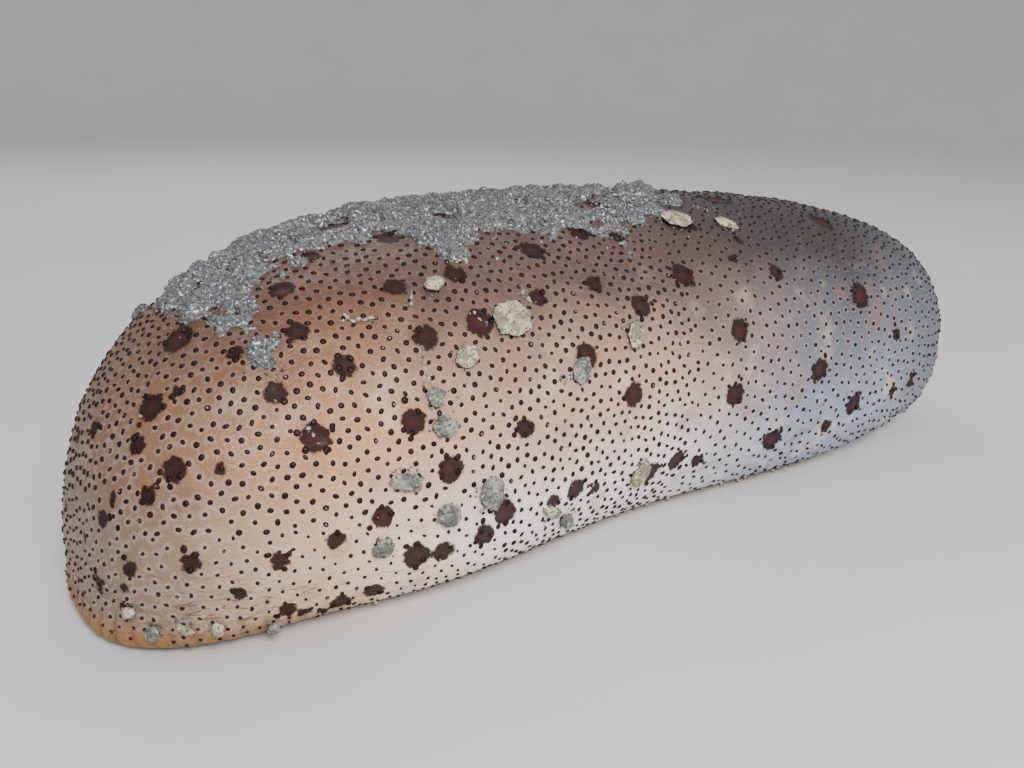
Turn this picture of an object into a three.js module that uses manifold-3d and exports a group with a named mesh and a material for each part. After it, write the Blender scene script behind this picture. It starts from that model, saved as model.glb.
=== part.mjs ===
// A life-size still model of a sea cucumber, the stout spotted kind that lies on sand.
// It rests on the tube feet of its flat sole, with the mouth under the thick end and the vent at the far end.
// Millimetres, +Z up. The mouth end points towards -X, and the floor is at Z = 0.
import * as THREE from 'three';
import { mergeVertices } from 'three/addons/utils/BufferGeometryUtils.js';
import Module from 'manifold-3d';

const wasm = await Module();
wasm.setup();

// Driving dimensions of the body
const bodyLength = 340;
const halfWidth = 64;
const bodyHeight = 98;
const oralTipHeight = 8;
const analTipHeight = 41;
const footHeight = 1.5;
const soleSink = 4; // how far the round underside is pressed flat
const bend = -13.5; // sideways bow of the body, both ends towards -Y
const widestAt = 0.48; // shares of the length, from the mouth end
const highestAt = 0.40;
const waistHeight = 0.46; // share of the height where a section is widest
const planShape = { front: 2.9, rear: 2.75 }; // roundness of the outline: 2 is an ellipse, more is blunter
const profileShape = { front: 2.65, rear: 2.8 };
const soleShape = { front: 5, rear: 4 };
const backRoundness = 2.2;
const bellyRoundness = 3.2;
const bodyStations = 42;
const bodySectors = 44;

// Soft swellings of the flank: share of the length, angle round the section, amount, and reach both ways
const flankAngle = 1.17 * Math.PI;
const swellings = [
  { at: 0.25, angle: flankAngle, amount: 5, long: 0.09, round: 0.5 },
  { at: 0.50, angle: flankAngle, amount: -3, long: 0.09, round: 0.5 },
  { at: 0.72, angle: flankAngle, amount: 1.5, long: 0.08, round: 0.5 },
];

// The lip that flares onto the floor round the mouth end
const lip = { height: 16, reach: 60, base: 2.5, lobes: [
  { towards: -0.9, spread: 0.35, amount: 5.5 },
  { towards: 0.6, spread: 0.45, amount: 2.5 },
] };

// Where the nodes part, as shares of the length, and the gap that they keep
const cutGap = 0.3;
const bodyCuts = [0.15, 0.38, 0.62, 0.86];
const soleCuts = [0.24, 0.48, 0.72];
const soleTop = 9;

// Small forms
const papilla = { pitch: 15, radius: 1.5, height: 1.5, root: 1.2, sides: 5 };
const foot = { pitch: 16, radius: 1.5, root: 1.2, sides: 5 };
const footRows = [-0.77, -0.62, -0.5, -0.12, 0, 0.12, 0.5, 0.62, 0.77];
const mouth = { fromTip: 30, radius: 16.4, clearance: 0.5, discThickness: 2.6, throat: 2.4 };
const tentacleRings = [{ count: 12, radius: 11.9, head: 2.5 }, { count: 8, radius: 6.4, head: 2.1 }];
const vent = { at: 0.984, rimRadius: 11, rimHeight: 2.2, holeRadius: 5.2, depth: 7 };
const ventPapillae = { groups: 5, perGroup: 5, radius: 1.1, height: 3.2 };

// Sand that sticks to the slime of the back: its near edge steps down the flank and ends in lobes
const crust = { lift: 0.6, edge: 0.7, thickness: 2.4, farAngle: 64, nearAngle: 100, columns: 10 };
// Mounds of the sand: distance apart, and their level, rise and wander as shares of the thickness and of a turn
const mound = { pitch: 16, level: 0.8, rise: 0.35, wander: 1.2 };
const crustStep = { down: 17, from: 0.262, to: 0.282 };
const crustLobes = [
  { at: 0.120, down: 38, width: 0.014 },
  { at: 0.290, down: 6, width: 0.012 },
  { at: 0.365, down: -8, width: 0.010 },
  { at: 0.394, down: 5, width: 0.012 },
  { at: 0.468, down: 10, width: 0.016 },
  { at: 0.575, down: -15, width: 0.035 },
];
const crustPatches = {
  sand_crust_front: { from: 0.092, to: 0.2615, rows: 30 },
  sand_crust_middle: { from: 0.2625, to: 0.4315, rows: 20 },
  sand_crust_rear: { from: 0.4325, to: 0.605, rows: 16 },
};
const crustEnd = 5; // distance over which the sand thins out towards its first and last edge

// Bare places in the sand, where dark skin shows: share of the length, angle in degrees, and reach
const crustGaps = [
  { at: 0.239, angle: 90, reach: 5 },
  { at: 0.191, angle: 103, reach: 3.4 },
  { at: 0.256, angle: 106, reach: 3.6 },
  { at: 0.322, angle: 99, reach: 4 },
  { at: 0.408, angle: 96, reach: 4 },
  { at: 0.350, angle: 74, reach: 3.5 },
  { at: 0.485, angle: 104, reach: 4.5 },
  { at: 0.526, angle: 95, reach: 6 },
  { at: 0.560, angle: 80, reach: 4.5 },
];
const gapSides = 7;

// Shell chips stuck to the flank: share of the length, angle in degrees, length and width, turn in degrees
const chips = [
  { at: 0.311, angle: 146, long: 12.8, wide: 10.6, turn: 10 },
  { at: 0.430, angle: 157, long: 8.9, wide: 5.8, turn: 75 },
  { at: 0.261, angle: 153, long: 7.4, wide: 5.6, turn: 20 },
  { at: 0.364, angle: 164, long: 8.0, wide: 6.3, turn: 60 },
  { at: 0.259, angle: 130, long: 6.2, wide: 4.8, turn: 0 },
  { at: 0.232, angle: 169, long: 7.2, wide: 5.7, turn: 150 },
  { at: 0.228, angle: 161, long: 5.6, wide: 4.6, turn: 95 },
  { at: 0.197, angle: 179, long: 9.4, wide: 5.2, turn: 55 },
  { at: 0.230, angle: 186, long: 7.3, wide: 6.4, turn: 30 },
  { at: 0.269, angle: 184, long: 9.6, wide: 8.6, turn: 100 },
  { at: 0.179, angle: 190, long: 6.0, wide: 5.2, turn: 15 },
  { at: 0.439, angle: 194, long: 8.6, wide: 7.6, turn: 40 },
  { at: 0.332, angle: 196, long: 8.2, wide: 3.7, turn: 85 },
  { at: 0.355, angle: 204, long: 8.2, wide: 3.8, turn: 95 },
  { at: 0.610, angle: 121, long: 8.0, wide: 6.0, turn: 140 },
  { at: 0.553, angle: 117, long: 11.6, wide: 9.6, turn: 5 },
  { at: 0.016, angle: 190, long: 4.4, wide: 3.2, turn: 20 },
  { at: 0.029, angle: 207, long: 4.8, wide: 3.6, turn: 70 },
  { at: 0.047, angle: 206, long: 5.4, wide: 2.2, turn: 120 },
  { at: 0.066, angle: 209, long: 4.8, wide: 3.4, turn: 35 },
  { at: 0.105, angle: 218, long: 5.0, wide: 3.2, turn: 100 },
];
const chipThickness = 1.7;
const chipSides = 7;

// The middle of the model's own box, which becomes the origin
const boxMiddle = { x: 1.5, y: 2.7 };

const smooth = (from, to, x) => {
  const t = Math.min(1, Math.max(0, (x - from) / (to - from)));
  return t * t * (3 - 2 * t);
};
const bell = (x, width) => Math.exp(-((x / width) ** 2));
const power = (x, exponent) => Math.sign(x) * Math.abs(x) ** exponent;
const wrapped = (angle) => Math.atan2(Math.sin(angle), Math.cos(angle));
const radians = THREE.MathUtils.degToRad;

// A random draw that is the same every run
function seeded(seed) {
  let state = seed;
  return () => {
    state = (state + 0x6d2b79f5) | 0;
    let t = Math.imul(state ^ (state >>> 15), 1 | state);
    t = (t + Math.imul(t ^ (t >>> 7), 61 | t)) ^ t;
    return ((t ^ (t >>> 14)) >>> 0) / 4294967296;
  };
}

// 0 at either tip, 1 at the fullest place, round in between
function fullness(u, peak, shape) {
  const away = u < peak ? (peak - u) / peak : (u - peak) / (1 - peak);
  const exponent = u < peak ? shape.front : shape.rear;
  return Math.max(0, 1 - away ** exponent) ** (1 / exponent);
}

const midlineY = (u) => bend * ((2 * u - 1) ** 2 - 1 / 3);
const stationX = (u) => bodyLength * (u - 0.5);

// Pushes the low skin of the mouth end outwards, as a lip that spreads on the floor
function flareLip(point) {
  const centreX = stationX(0) + lip.reach;
  const dx = point.x - centreX;
  const dy = point.y - midlineY(lip.reach / bodyLength);
  const away = Math.hypot(dx, dy);
  const low = Math.max(0, 1 - point.z / lip.height) ** 2;
  const ahead = smooth(15, -25, dx);
  if (low * ahead * away === 0) return point;
  const heading = Math.atan2(dy, -dx);
  let push = lip.base;
  for (const lobe of lip.lobes) push += lobe.amount * bell(heading - lobe.towards, lobe.spread);
  push *= low * ahead * Math.min(1, away / lip.reach) ** 3;
  point.x += (push * dx) / away;
  point.y += (push * dy) / away;
  return point;
}

// A point of the skin: u runs from the mouth end to the vent, the angle goes round, with 90 degrees on top
function skinPoint(u, angle) {
  const width = halfWidth * fullness(u, widestAt, planShape);
  const tip = u < highestAt ? oralTipHeight : analTipHeight;
  const top = tip + (bodyHeight - tip) * fullness(u, highestAt, profileShape);
  const bottom = tip - (tip + soleSink) * fullness(u, 0.5, soleShape);
  const waist = bottom + waistHeight * (top - bottom);
  const [c, s] = [Math.cos(angle), Math.sin(angle)];
  const exponent = 2 / (s >= 0 ? backRoundness : bellyRoundness);
  let y = midlineY(u) + width * power(c, exponent);
  let z = waist + (s >= 0 ? top - waist : waist - bottom) * power(s, exponent);
  for (const swelling of swellings) {
    const share = bell(u - swelling.at, swelling.long) * bell(wrapped(angle - swelling.angle), swelling.round);
    y += swelling.amount * share * c;
    z += 0.3 * swelling.amount * share * s;
  }
  return flareLip(new THREE.Vector3(stationX(u), y, Math.max(footHeight, z)));
}

function skinNormal(u, angle) {
  const step = 1e-3;
  const inside = Math.min(1 - 2 * step, Math.max(2 * step, u));
  const along = skinPoint(inside + step, angle).sub(skinPoint(inside - step, angle));
  const round = skinPoint(inside, angle + step).sub(skinPoint(inside, angle - step));
  return round.cross(along).normalize();
}

const liftedPoint = (u, angle, lift) => skinPoint(u, angle).addScaledVector(skinNormal(u, angle), lift);

// Closed mesh from rings of points; a ring of one point closes an end
function ringMesh(rings) {
  const points = rings.flat();
  const starts = [];
  let total = 0;
  for (const ring of rings) {
    starts.push(total);
    total += ring.length;
  }
  const faces = [];
  for (let i = 0; i + 1 < rings.length; i += 1) {
    const count = Math.max(rings[i].length, rings[i + 1].length);
    for (let j = 0; j < count; j += 1) {
      const next = (j + 1) % count;
      const [a, b] = [j, next].map((k) => starts[i] + (rings[i].length === 1 ? 0 : k));
      const [c, d] = [j, next].map((k) => starts[i + 1] + (rings[i + 1].length === 1 ? 0 : k));
      if (a !== b) faces.push(a, b, d);
      if (c !== d) faces.push(a, d, c);
    }
  }
  const geometry = new THREE.BufferGeometry().setFromPoints(points);
  geometry.setIndex(faces);
  return geometry;
}

function toSolid(geometry) {
  const bare = geometry.index ? geometry.toNonIndexed() : geometry.clone();
  for (const name of Object.keys(bare.attributes)) if (name !== 'position') bare.deleteAttribute(name);
  const merged = mergeVertices(bare, 1e-4);
  return new wasm.Manifold(new wasm.Mesh({
    numProp: 3,
    vertProperties: new Float32Array(merged.attributes.position.array),
    triVerts: new Uint32Array(merged.index.array),
  }));
}

function toGeometry(solid) {
  const mesh = solid.getMesh();
  const geometry = new THREE.BufferGeometry();
  geometry.setAttribute('position', new THREE.BufferAttribute(new Float32Array(mesh.vertProperties), 3));
  geometry.setIndex(new THREE.BufferAttribute(new Uint32Array(mesh.triVerts), 1));
  geometry.computeVertexNormals();
  return geometry;
}

const joined = (solids) => wasm.Manifold.union(solids);
const largestPiece = (solid) => solid.decompose().sort((a, b) => b.volume() - a.volume())[0];

// Moves a shape made about the Y axis so that it stands on a point, with Y along the direction
function standOn(geometry, point, direction, turn = 0) {
  const upright = new THREE.Quaternion().setFromUnitVectors(new THREE.Vector3(0, 1, 0), direction);
  const spin = new THREE.Quaternion().setFromAxisAngle(new THREE.Vector3(0, 1, 0), turn);
  return geometry.clone().applyQuaternion(upright.multiply(spin)).translate(point.x, point.y, point.z);
}

// A path given by a formula, to be divided into steps of equal length
class FormulaPath extends THREE.Curve {
  constructor(pointAt) {
    super();
    this.getPoint = pointAt;
    this.arcLengthDivisions = 2000;
  }
}

function evenSteps(pointAt, count) {
  const path = new FormulaPath(pointAt);
  return Array.from({ length: count + 1 }, (_, n) => path.getUtoTmapping(n / count));
}

// The whole bag of skin, with its rings and sectors at even steps over the surface
function bodySolid() {
  const rounded = (t) => (1 - Math.cos(Math.PI * t)) / 2;
  const width = (u) => halfWidth * fullness(u, widestAt, planShape);
  const outline = (t) => new THREE.Vector3(stationX(rounded(t)), width(rounded(t)), 0);
  const stations = evenSteps(outline, bodyStations).map(rounded);
  const sectors = evenSteps((t) => skinPoint(widestAt, 2 * Math.PI * t), bodySectors).slice(0, -1);
  const rings = stations.map((u) => sectors.map((t) => skinPoint(u, 2 * Math.PI * t)));
  rings[0] = [skinPoint(0, 0)];
  rings[bodyStations] = [skinPoint(1, 0)];
  const solid = toSolid(ringMesh(rings));
  return solid.volume() > 0 ? solid : toSolid(ringMesh(rings.map((ring) => [...ring].reverse())));
}

const { sand_crust_front: firstPatch, sand_crust_rear: lastPatch } = crustPatches;

// Edges of the sand on the back at a share of the length, in degrees: far side first
function crustEdges(u) {
  let near = crust.nearAngle + crustStep.down * smooth(crustStep.from, crustStep.to, u);
  for (const lobe of crustLobes) near += lobe.down * bell(u - lobe.at, lobe.width);
  const far = crust.farAngle + 5 * Math.sin(u * 55) + 3 * Math.sin(u * 131);
  return [far, near];
}

function underCrust(u, degrees, margin) {
  if (u < firstPatch.from - 0.012 || u > lastPatch.to + 0.012) return false;
  const [far, near] = crustEdges(u);
  return degrees > far - margin && degrees < near + margin;
}

function nearChip(point, room) {
  return chips.some((chip) => {
    const centre = skinPoint(chip.at, radians(chip.angle));
    return centre.distanceTo(point) < chip.long / 2 + room;
  });
}

// The small warts of the back and flanks, in rows round the body
function papillae() {
  const random = seeded(11);
  const cone = new THREE.ConeGeometry(papilla.radius, papilla.height + papilla.root, papilla.sides);
  cone.translate(0, (papilla.height - papilla.root) / 2, 0);
  const made = [];
  const rows = Math.round((bodyLength - 18) / papilla.pitch);
  const [lowest, highest] = [radians(-14), radians(194)];
  for (let row = 0; row < rows; row += 1) {
    const middle = (row + 0.5) / rows;
    const u = 0.012 + 0.955 * (0.75 * middle + (0.25 * (1 - Math.cos(Math.PI * middle))) / 2);
    let arc = 0;
    for (let k = 0; k < 40; k += 1) {
      const [from, to] = [k, k + 1].map((n) => skinPoint(u, lowest + ((highest - lowest) * n) / 40));
      arc += from.distanceTo(to);
    }
    const count = Math.max(3, Math.round(arc / papilla.pitch));
    for (let n = 0; n < count; n += 1) {
      const share = (n + (row % 2 ? 0.75 : 0.25) + 0.3 * (random() - 0.5)) / count;
      const angle = lowest + (highest - lowest) * share;
      const at = u + (0.22 * papilla.pitch * (random() - 0.5)) / bodyLength;
      const size = 0.8 + 0.35 * random();
      const point = skinPoint(at, angle);
      const byCut = bodyCuts.some((cut) => Math.abs(point.x - stationX(cut)) < 2.4);
      const degrees = THREE.MathUtils.radToDeg(angle);
      if (byCut || point.z < soleTop + 4 || underCrust(at, degrees, 5) || nearChip(point, 3)) continue;
      if (point.distanceTo(skinPoint(vent.at, Math.PI / 2)) < vent.rimRadius + 6) continue;
      const shape = cone.clone().scale(size, size, size);
      made.push(toSolid(standOn(shape, point, skinNormal(at, angle))));
    }
  }
  return made;
}

// Tube feet in three bands along the sole, with their tips flat on the floor
function tubeFeet() {
  const random = seeded(23);
  const made = [];
  const columns = Math.round((0.72 * bodyLength) / foot.pitch);
  for (const [band, across] of footRows.entries()) {
    for (let n = 0; n < columns; n += 1) {
      const share = (n + 0.5 + 0.5 * (band % 2) + 0.3 * (random() - 0.5)) / (columns + 0.5);
      const u = 0.205 + 0.7 * share;
      const sideways = across + 0.02 * (random() - 0.5);
      const angle = -Math.acos(power(sideways, bellyRoundness / 2));
      const point = skinPoint(u, angle);
      const byCut = soleCuts.some((cut) => Math.abs(point.x - stationX(cut)) < 2.6);
      if (byCut || point.z > footHeight + 0.8) continue;
      const height = point.z + foot.root;
      const radius = foot.radius * (0.85 + 0.3 * random());
      const column = new THREE.CylinderGeometry(0.8 * radius, radius, height, foot.sides);
      column.rotateX(Math.PI / 2).rotateZ(random() * 2).translate(point.x, point.y, height / 2);
      made.push(toSolid(column));
    }
  }
  return made;
}

// The raised rim round the vent with its five groups of papillae, and the hole inside it
function ventForms() {
  const point = skinPoint(vent.at, Math.PI / 2);
  const normal = skinNormal(vent.at, Math.PI / 2);
  const rim = new THREE.LatheGeometry([
    new THREE.Vector2(0, -2),
    new THREE.Vector2(vent.rimRadius, -2),
    new THREE.Vector2(vent.rimRadius - 0.8, 0.4 * vent.rimHeight),
    new THREE.Vector2(0.75 * vent.rimRadius, vent.rimHeight),
    new THREE.Vector2(0, vent.rimHeight),
  ], 20);
  const hole = new THREE.ConeGeometry(vent.holeRadius, vent.depth, 10).rotateX(Math.PI);
  hole.translate(0, vent.rimHeight - vent.depth / 2 + 0.1, 0);
  const added = [toSolid(standOn(rim, point, normal))];
  for (let group = 0; group < ventPapillae.groups; group += 1) {
    for (let n = 0; n < ventPapillae.perGroup; n += 1) {
      const heading = (2 * Math.PI * (group + 0.14 * (n - 2))) / ventPapillae.groups;
      const out = (n % 2 ? 0.86 : 0.7) * vent.rimRadius;
      const cone = new THREE.ConeGeometry(ventPapillae.radius, ventPapillae.height + 1.5, 5);
      cone.translate(0, ventPapillae.height / 2 - 0.7, 0).rotateZ(-0.35);
      cone.translate(out, 0.7 * vent.rimHeight, 0).rotateY(heading);
      added.push(toSolid(standOn(cone, point, normal)));
    }
  }
  return { added, hole: toSolid(standOn(hole, point, normal)) };
}

// A slab between two places along the body and two heights, to cut a node out with
function slab(fromU, toU, low, high) {
  const [from, to] = [stationX(fromU) + cutGap / 2, stationX(toU) - cutGap / 2];
  const box = new THREE.BoxGeometry(to - from, 4 * halfWidth, high - low);
  return toSolid(box.translate((from + to) / 2, 0, (low + high) / 2));
}

const mouthX = stationX(0) + mouth.fromTip;
const mouthY = midlineY(mouth.fromTip / bodyLength);

function mouthOpening() {
  const height = soleTop + 2;
  const bore = new THREE.CylinderGeometry(mouth.radius, mouth.radius, height, 32).rotateX(Math.PI / 2);
  return toSolid(bore.translate(mouthX, mouthY, height / 2 - 1));
}

// The disc round the throat and the shield-shaped tentacles that hang from it
function mouthTentacles() {
  const random = seeded(5);
  const top = soleTop - cutGap / 2;
  const under = top - mouth.discThickness;
  const outer = mouth.radius - mouth.clearance;
  const disc = new THREE.LatheGeometry([
    new THREE.Vector2(0, -mouth.discThickness + 1.4),
    new THREE.Vector2(mouth.throat, -mouth.discThickness),
    new THREE.Vector2(outer - 0.8, -mouth.discThickness),
    new THREE.Vector2(outer, -mouth.discThickness + 0.8),
    new THREE.Vector2(outer, 0),
    new THREE.Vector2(0, 0),
  ], 28).rotateX(Math.PI / 2).translate(mouthX, mouthY, top);
  const parts = [toSolid(disc)];
  for (const ring of tentacleRings) {
    for (let n = 0; n < ring.count; n += 1) {
      const heading = (2 * Math.PI * (n + 0.25 * (random() - 0.5))) / ring.count;
      const drop = under - 0.7 - 0.7 * random();
      const head = ring.head * (0.9 + 0.2 * random());
      const shape = new THREE.LatheGeometry([
        new THREE.Vector2(0, -drop),
        new THREE.Vector2(0.8 * head, -drop),
        new THREE.Vector2(head, -drop + 1.1),
        new THREE.Vector2(0.45 * head, -drop + 2.1),
        new THREE.Vector2(0.4 * head, 1),
        new THREE.Vector2(0, 1),
      ], 8);
      const at = shape.attributes.position;
      for (let i = 0; i < at.count; i += 1) {
        const lobe = Math.round((4 * Math.atan2(at.getZ(i), at.getX(i))) / Math.PI) % 2 ? 0.8 : 1;
        if (at.getY(i) < -drop + 2) at.setXYZ(i, lobe * at.getX(i), at.getY(i), lobe * at.getZ(i));
      }
      shape.rotateX(Math.PI / 2);
      const [across, along] = [Math.cos(heading), Math.sin(heading)];
      shape.translate(mouthX + ring.radius * across, mouthY + ring.radius * along, under);
      parts.push(toSolid(shape));
    }
  }
  return largestPiece(joined(parts));
}

// How thick the sand is, as a share; over the back one degree is about one millimetre
function moundHeight(along, degrees) {
  const turn = (2 * Math.PI) / mound.pitch;
  const wave = Math.cos(turn * along + mound.wander * Math.sin(0.43 * turn * degrees));
  const otherWave = Math.cos(turn * degrees + mound.wander * Math.sin(0.37 * turn * along));
  return mound.level + (mound.rise * (wave + otherWave)) / 2;
}

// A thin shell of sand that follows the skin, heaped in low mounds and thin at its edges
function crustPatch(patch) {
  const [along, across] = [patch.rows, crust.columns];
  const rows = [];
  for (let i = 0; i <= along; i += 1) {
    const u = patch.from + ((patch.to - patch.from) * i) / along;
    const [far, near] = crustEdges(u);
    const row = [];
    for (let j = 0; j <= across; j += 1) {
      const degrees = far + ((near - far) * j) / across;
      const angle = radians(degrees);
      const inner = Math.min(1, (2.2 * Math.min(j, across - j)) / across);
      const toEnd = bodyLength * Math.min(u - firstPatch.from, lastPatch.to - u);
      const end = Math.min(1, toEnd / crustEnd + 0.1);
      const heaped = inner * end * moundHeight(bodyLength * u, degrees);
      const rise = crust.edge + (crust.thickness - crust.edge) * heaped;
      row.push([liftedPoint(u, angle, crust.lift), liftedPoint(u, angle, crust.lift + rise)]);
    }
    rows.push(row);
  }
  // each row becomes a closed loop: along the underside and back over the top
  const loops = rows.map((row) => [...row.map((pair) => pair[0]), ...row.map((pair) => pair[1]).reverse()]);
  return cappedLoops(loops, across);
}

// Cuts the bare places out of a patch of sand
function withGaps(patch) {
  const posts = crustGaps.map((gap, n) => {
    const post = new THREE.CylinderGeometry(gap.reach, gap.reach, 4 * crust.thickness, gapSides);
    const angle = radians(gap.angle);
    return toSolid(standOn(post, skinPoint(gap.at, angle), skinNormal(gap.at, angle), n));
  });
  return largestPiece(patch.subtract(joined(posts)));
}

// Closed mesh from loops that are each a strip of two equal sides, with flat strips as end caps
function cappedLoops(loops, across) {
  const size = loops[0].length;
  const points = loops.flat();
  const faces = [];
  for (let i = 0; i + 1 < loops.length; i += 1) {
    for (let j = 0; j < size; j += 1) {
      const next = (j + 1) % size;
      const [a, b, c, d] = [i * size + j, i * size + next, (i + 1) * size + j, (i + 1) * size + next];
      // the top runs the other way round, so its diagonal is turned to match the underside
      if (j < across) faces.push(a, b, d, a, d, c);
      else faces.push(a, b, c, b, d, c);
    }
  }
  const last = (loops.length - 1) * size;
  for (let j = 0; j < across; j += 1) {
    const opposite = size - 1 - j;
    faces.push(j, opposite, j + 1, j + 1, opposite, opposite - 1);
    faces.push(last + j, last + j + 1, last + opposite, last + j + 1, last + opposite - 1, last + opposite);
  }
  const geometry = new THREE.BufferGeometry().setFromPoints(points);
  geometry.setIndex(faces);
  const solid = toSolid(geometry);
  if (solid.volume() > 0) return solid;
  for (let i = 0; i < faces.length; i += 3) [faces[i + 1], faces[i + 2]] = [faces[i + 2], faces[i + 1]];
  geometry.setIndex(faces);
  return toSolid(geometry);
}

// A flat, worn chip of shell with an uneven outline
function chipSolid(chip, index) {
  const random = seeded(100 + index);
  const outline = Array.from({ length: chipSides }, (_, n) => {
    const heading = (-2 * Math.PI * (n + 0.3 * (random() - 0.5))) / chipSides;
    const reach = 0.86 + 0.22 * random();
    const corner = new THREE.Vector2(chip.long * Math.cos(heading), chip.wide * Math.sin(heading));
    return corner.multiplyScalar(0.5 * reach);
  });
  const level = (y, scale) => outline.map((p) => new THREE.Vector3(p.x * scale, y, p.y * scale));
  const base = crust.lift;
  const shape = ringMesh([
    [new THREE.Vector3(0, base, 0)],
    level(base, 0.85),
    level(base + 0.4 * chipThickness, 1),
    level(base + 0.85 * chipThickness, 0.7),
    [new THREE.Vector3(0, base + chipThickness, 0)],
  ]);
  const angle = radians(chip.angle);
  const placed = standOn(shape, skinPoint(chip.at, angle), skinNormal(chip.at, angle), radians(chip.turn));
  const solid = toSolid(placed);
  return solid.volume() > 0 ? solid : toSolid(flipped(placed));
}

function flipped(geometry) {
  const turned = geometry.clone();
  const faces = Array.from(turned.index.array);
  for (let i = 0; i < faces.length; i += 3) [faces[i + 1], faces[i + 2]] = [faces[i + 2], faces[i + 1]];
  turned.setIndex(faces);
  return turned;
}

const finish = (colour, roughness) => new THREE.MeshStandardMaterial({ color: colour, roughness, metalness: 0 });
const materials = {
  back: finish(0xb5835f, 0.42),
  sole: finish(0xd9c6b6, 0.5),
  tentacle: finish(0x7a4a2c, 0.45),
  sand: finish(0x8f8f8b, 0.85),
  shell: finish(0xc9c2ae, 0.6),
};

const seaCucumber = new THREE.Group();

function addNode(name, solid, material) {
  const mesh = new THREE.Mesh(toGeometry(solid), material);
  mesh.name = name;
  seaCucumber.add(mesh);
}

const ventParts = ventForms();
const flesh = joined([bodySolid(), ...papillae(), ...tubeFeet(), ...ventParts.added]).subtract(ventParts.hole);

const lengths = { oral_end: 0, fore_body: 1, mid_body: 2, hind_body: 3, anal_end: 4 };
const bodyEdges = [-0.2, ...bodyCuts, 1.2];
for (const [name, n] of Object.entries(lengths)) {
  const piece = flesh.intersect(slab(bodyEdges[n], bodyEdges[n + 1], soleTop + cutGap / 2, 2 * bodyHeight));
  addNode(name, largestPiece(piece), materials.back);
}

const soles = { oral_collar: 0, sole_front: 1, sole_middle: 2, sole_rear: 3 };
const soleEdges = [-0.2, ...soleCuts, 1.2];
for (const [name, n] of Object.entries(soles)) {
  let piece = flesh.intersect(slab(soleEdges[n], soleEdges[n + 1], -1, soleTop - cutGap / 2));
  if (name === 'oral_collar') piece = piece.subtract(mouthOpening());
  addNode(name, largestPiece(piece), materials.sole);
}

addNode('mouth_tentacles', mouthTentacles(), materials.tentacle);
for (const [name, patch] of Object.entries(crustPatches)) {
  addNode(name, withGaps(crustPatch(patch)), materials.sand);
}
for (const [n, chip] of chips.entries()) {
  addNode(`shell_chip_${String(n + 1).padStart(2, '0')}`, chipSolid(chip, n), materials.shell);
}

seaCucumber.position.set(-boxMiddle.x, -boxMiddle.y, 0);

export default seaCucumber;
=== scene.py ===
# %% [markdown]
# # A spotted sea cucumber at rest
# The animal is a stout bag of skin that lies on its flat sole. Its mouth faces the floor under the thick
# end, its vent is at the far end, and sand and chips of shell stick to the slime of its back and flank.
# The frame holds the exact solids. This script dresses them: one skin, its dots and blotches, the tube
# feet, the tentacles of the mouth, and everything that the animal wears.

# %% Load the frame
import math

import bmesh
import bpy
import numpy as np
from mathutils import Matrix, Vector, kdtree, noise


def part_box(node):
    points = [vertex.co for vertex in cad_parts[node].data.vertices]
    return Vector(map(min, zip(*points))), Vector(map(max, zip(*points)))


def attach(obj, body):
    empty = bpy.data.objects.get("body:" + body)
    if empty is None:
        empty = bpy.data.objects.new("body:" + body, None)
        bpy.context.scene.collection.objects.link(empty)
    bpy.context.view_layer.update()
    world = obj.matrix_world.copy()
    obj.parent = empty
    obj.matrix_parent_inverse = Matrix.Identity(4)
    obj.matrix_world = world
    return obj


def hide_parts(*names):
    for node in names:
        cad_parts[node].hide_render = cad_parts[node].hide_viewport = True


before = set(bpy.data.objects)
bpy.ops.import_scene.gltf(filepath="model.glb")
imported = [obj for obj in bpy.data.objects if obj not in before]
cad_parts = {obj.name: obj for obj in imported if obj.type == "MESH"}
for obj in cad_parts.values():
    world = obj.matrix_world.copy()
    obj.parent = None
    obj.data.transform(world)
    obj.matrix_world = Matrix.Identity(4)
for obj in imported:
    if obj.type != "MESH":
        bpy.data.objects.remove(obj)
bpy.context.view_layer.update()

# %% [markdown]
# ## The shape of the body
# The body could be sculpted by hand, but then nothing else would know where its surface is. It is written
# as a formula instead: u runs from the mouth end to the vent, and the angle runs round a section, with 90
# degrees on top. Every piece below asks this formula where it sits. Sizes are in millimetres.

# %% Sizes of the body
LENGTH, HALF_WIDTH, HEIGHT = 340, 64, 98
# the heights of the two tips above the floor
ORAL_TIP, ANAL_TIP = 8, 41
# shares of the length, and the share of the height where a section is widest
WIDEST_AT, HIGHEST_AT, WAIST = 0.48, 0.40, 0.46
# roundness: 2 is an ellipse and more is blunter, first towards the mouth and then towards the vent
PLAN_SHAPE, PROFILE_SHAPE, SOLE_SHAPE = (2.9, 2.75), (2.65, 2.8), (5, 4)
BACK_ROUND, BELLY_ROUND = 2.2, 3.2
BEND = -13.5
SOLE_SINK, FOOT_HEIGHT = 4, 1.5
# soft swellings of the near flank: where in u, how far out, and how long in u
FLANK_ANGLE, SWELLING_ROUND, SWELLING_LIFT = 1.17 * math.pi, 0.5, 0.3
SWELLINGS = [(0.25, 5, 0.09), (0.50, -3, 0.09), (0.72, 1.5, 0.08)]
# the lip of the mouth end, and its lobes: the heading, the spread, and how far out
LIP_HEIGHT, LIP_REACH, LIP_BASE = 16, 60, 2.5
LIP_FADE = (15, -25)
LIP_LOBES = [(-0.9, 0.35, 5.5), (0.6, 0.45, 2.5)]
CUT_GAP, MID_BODY_FROM = 0.3, 0.38
MOUTH_FROM_TIP, MOUTH_RADIUS, SOLE_TOP = 30, 16.4, 9


# %% Helpers for curves
def smooth(value, low, high):
    """0 at low, 1 at high, with an eased step between them."""
    share = np.clip((value - low) / (high - low), 0, 1)
    return share * share * (3 - 2 * share)


def bell(value, width):
    """1 in the middle, and falling off softly on both sides."""
    return np.exp(-((value / width) ** 2))


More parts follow.
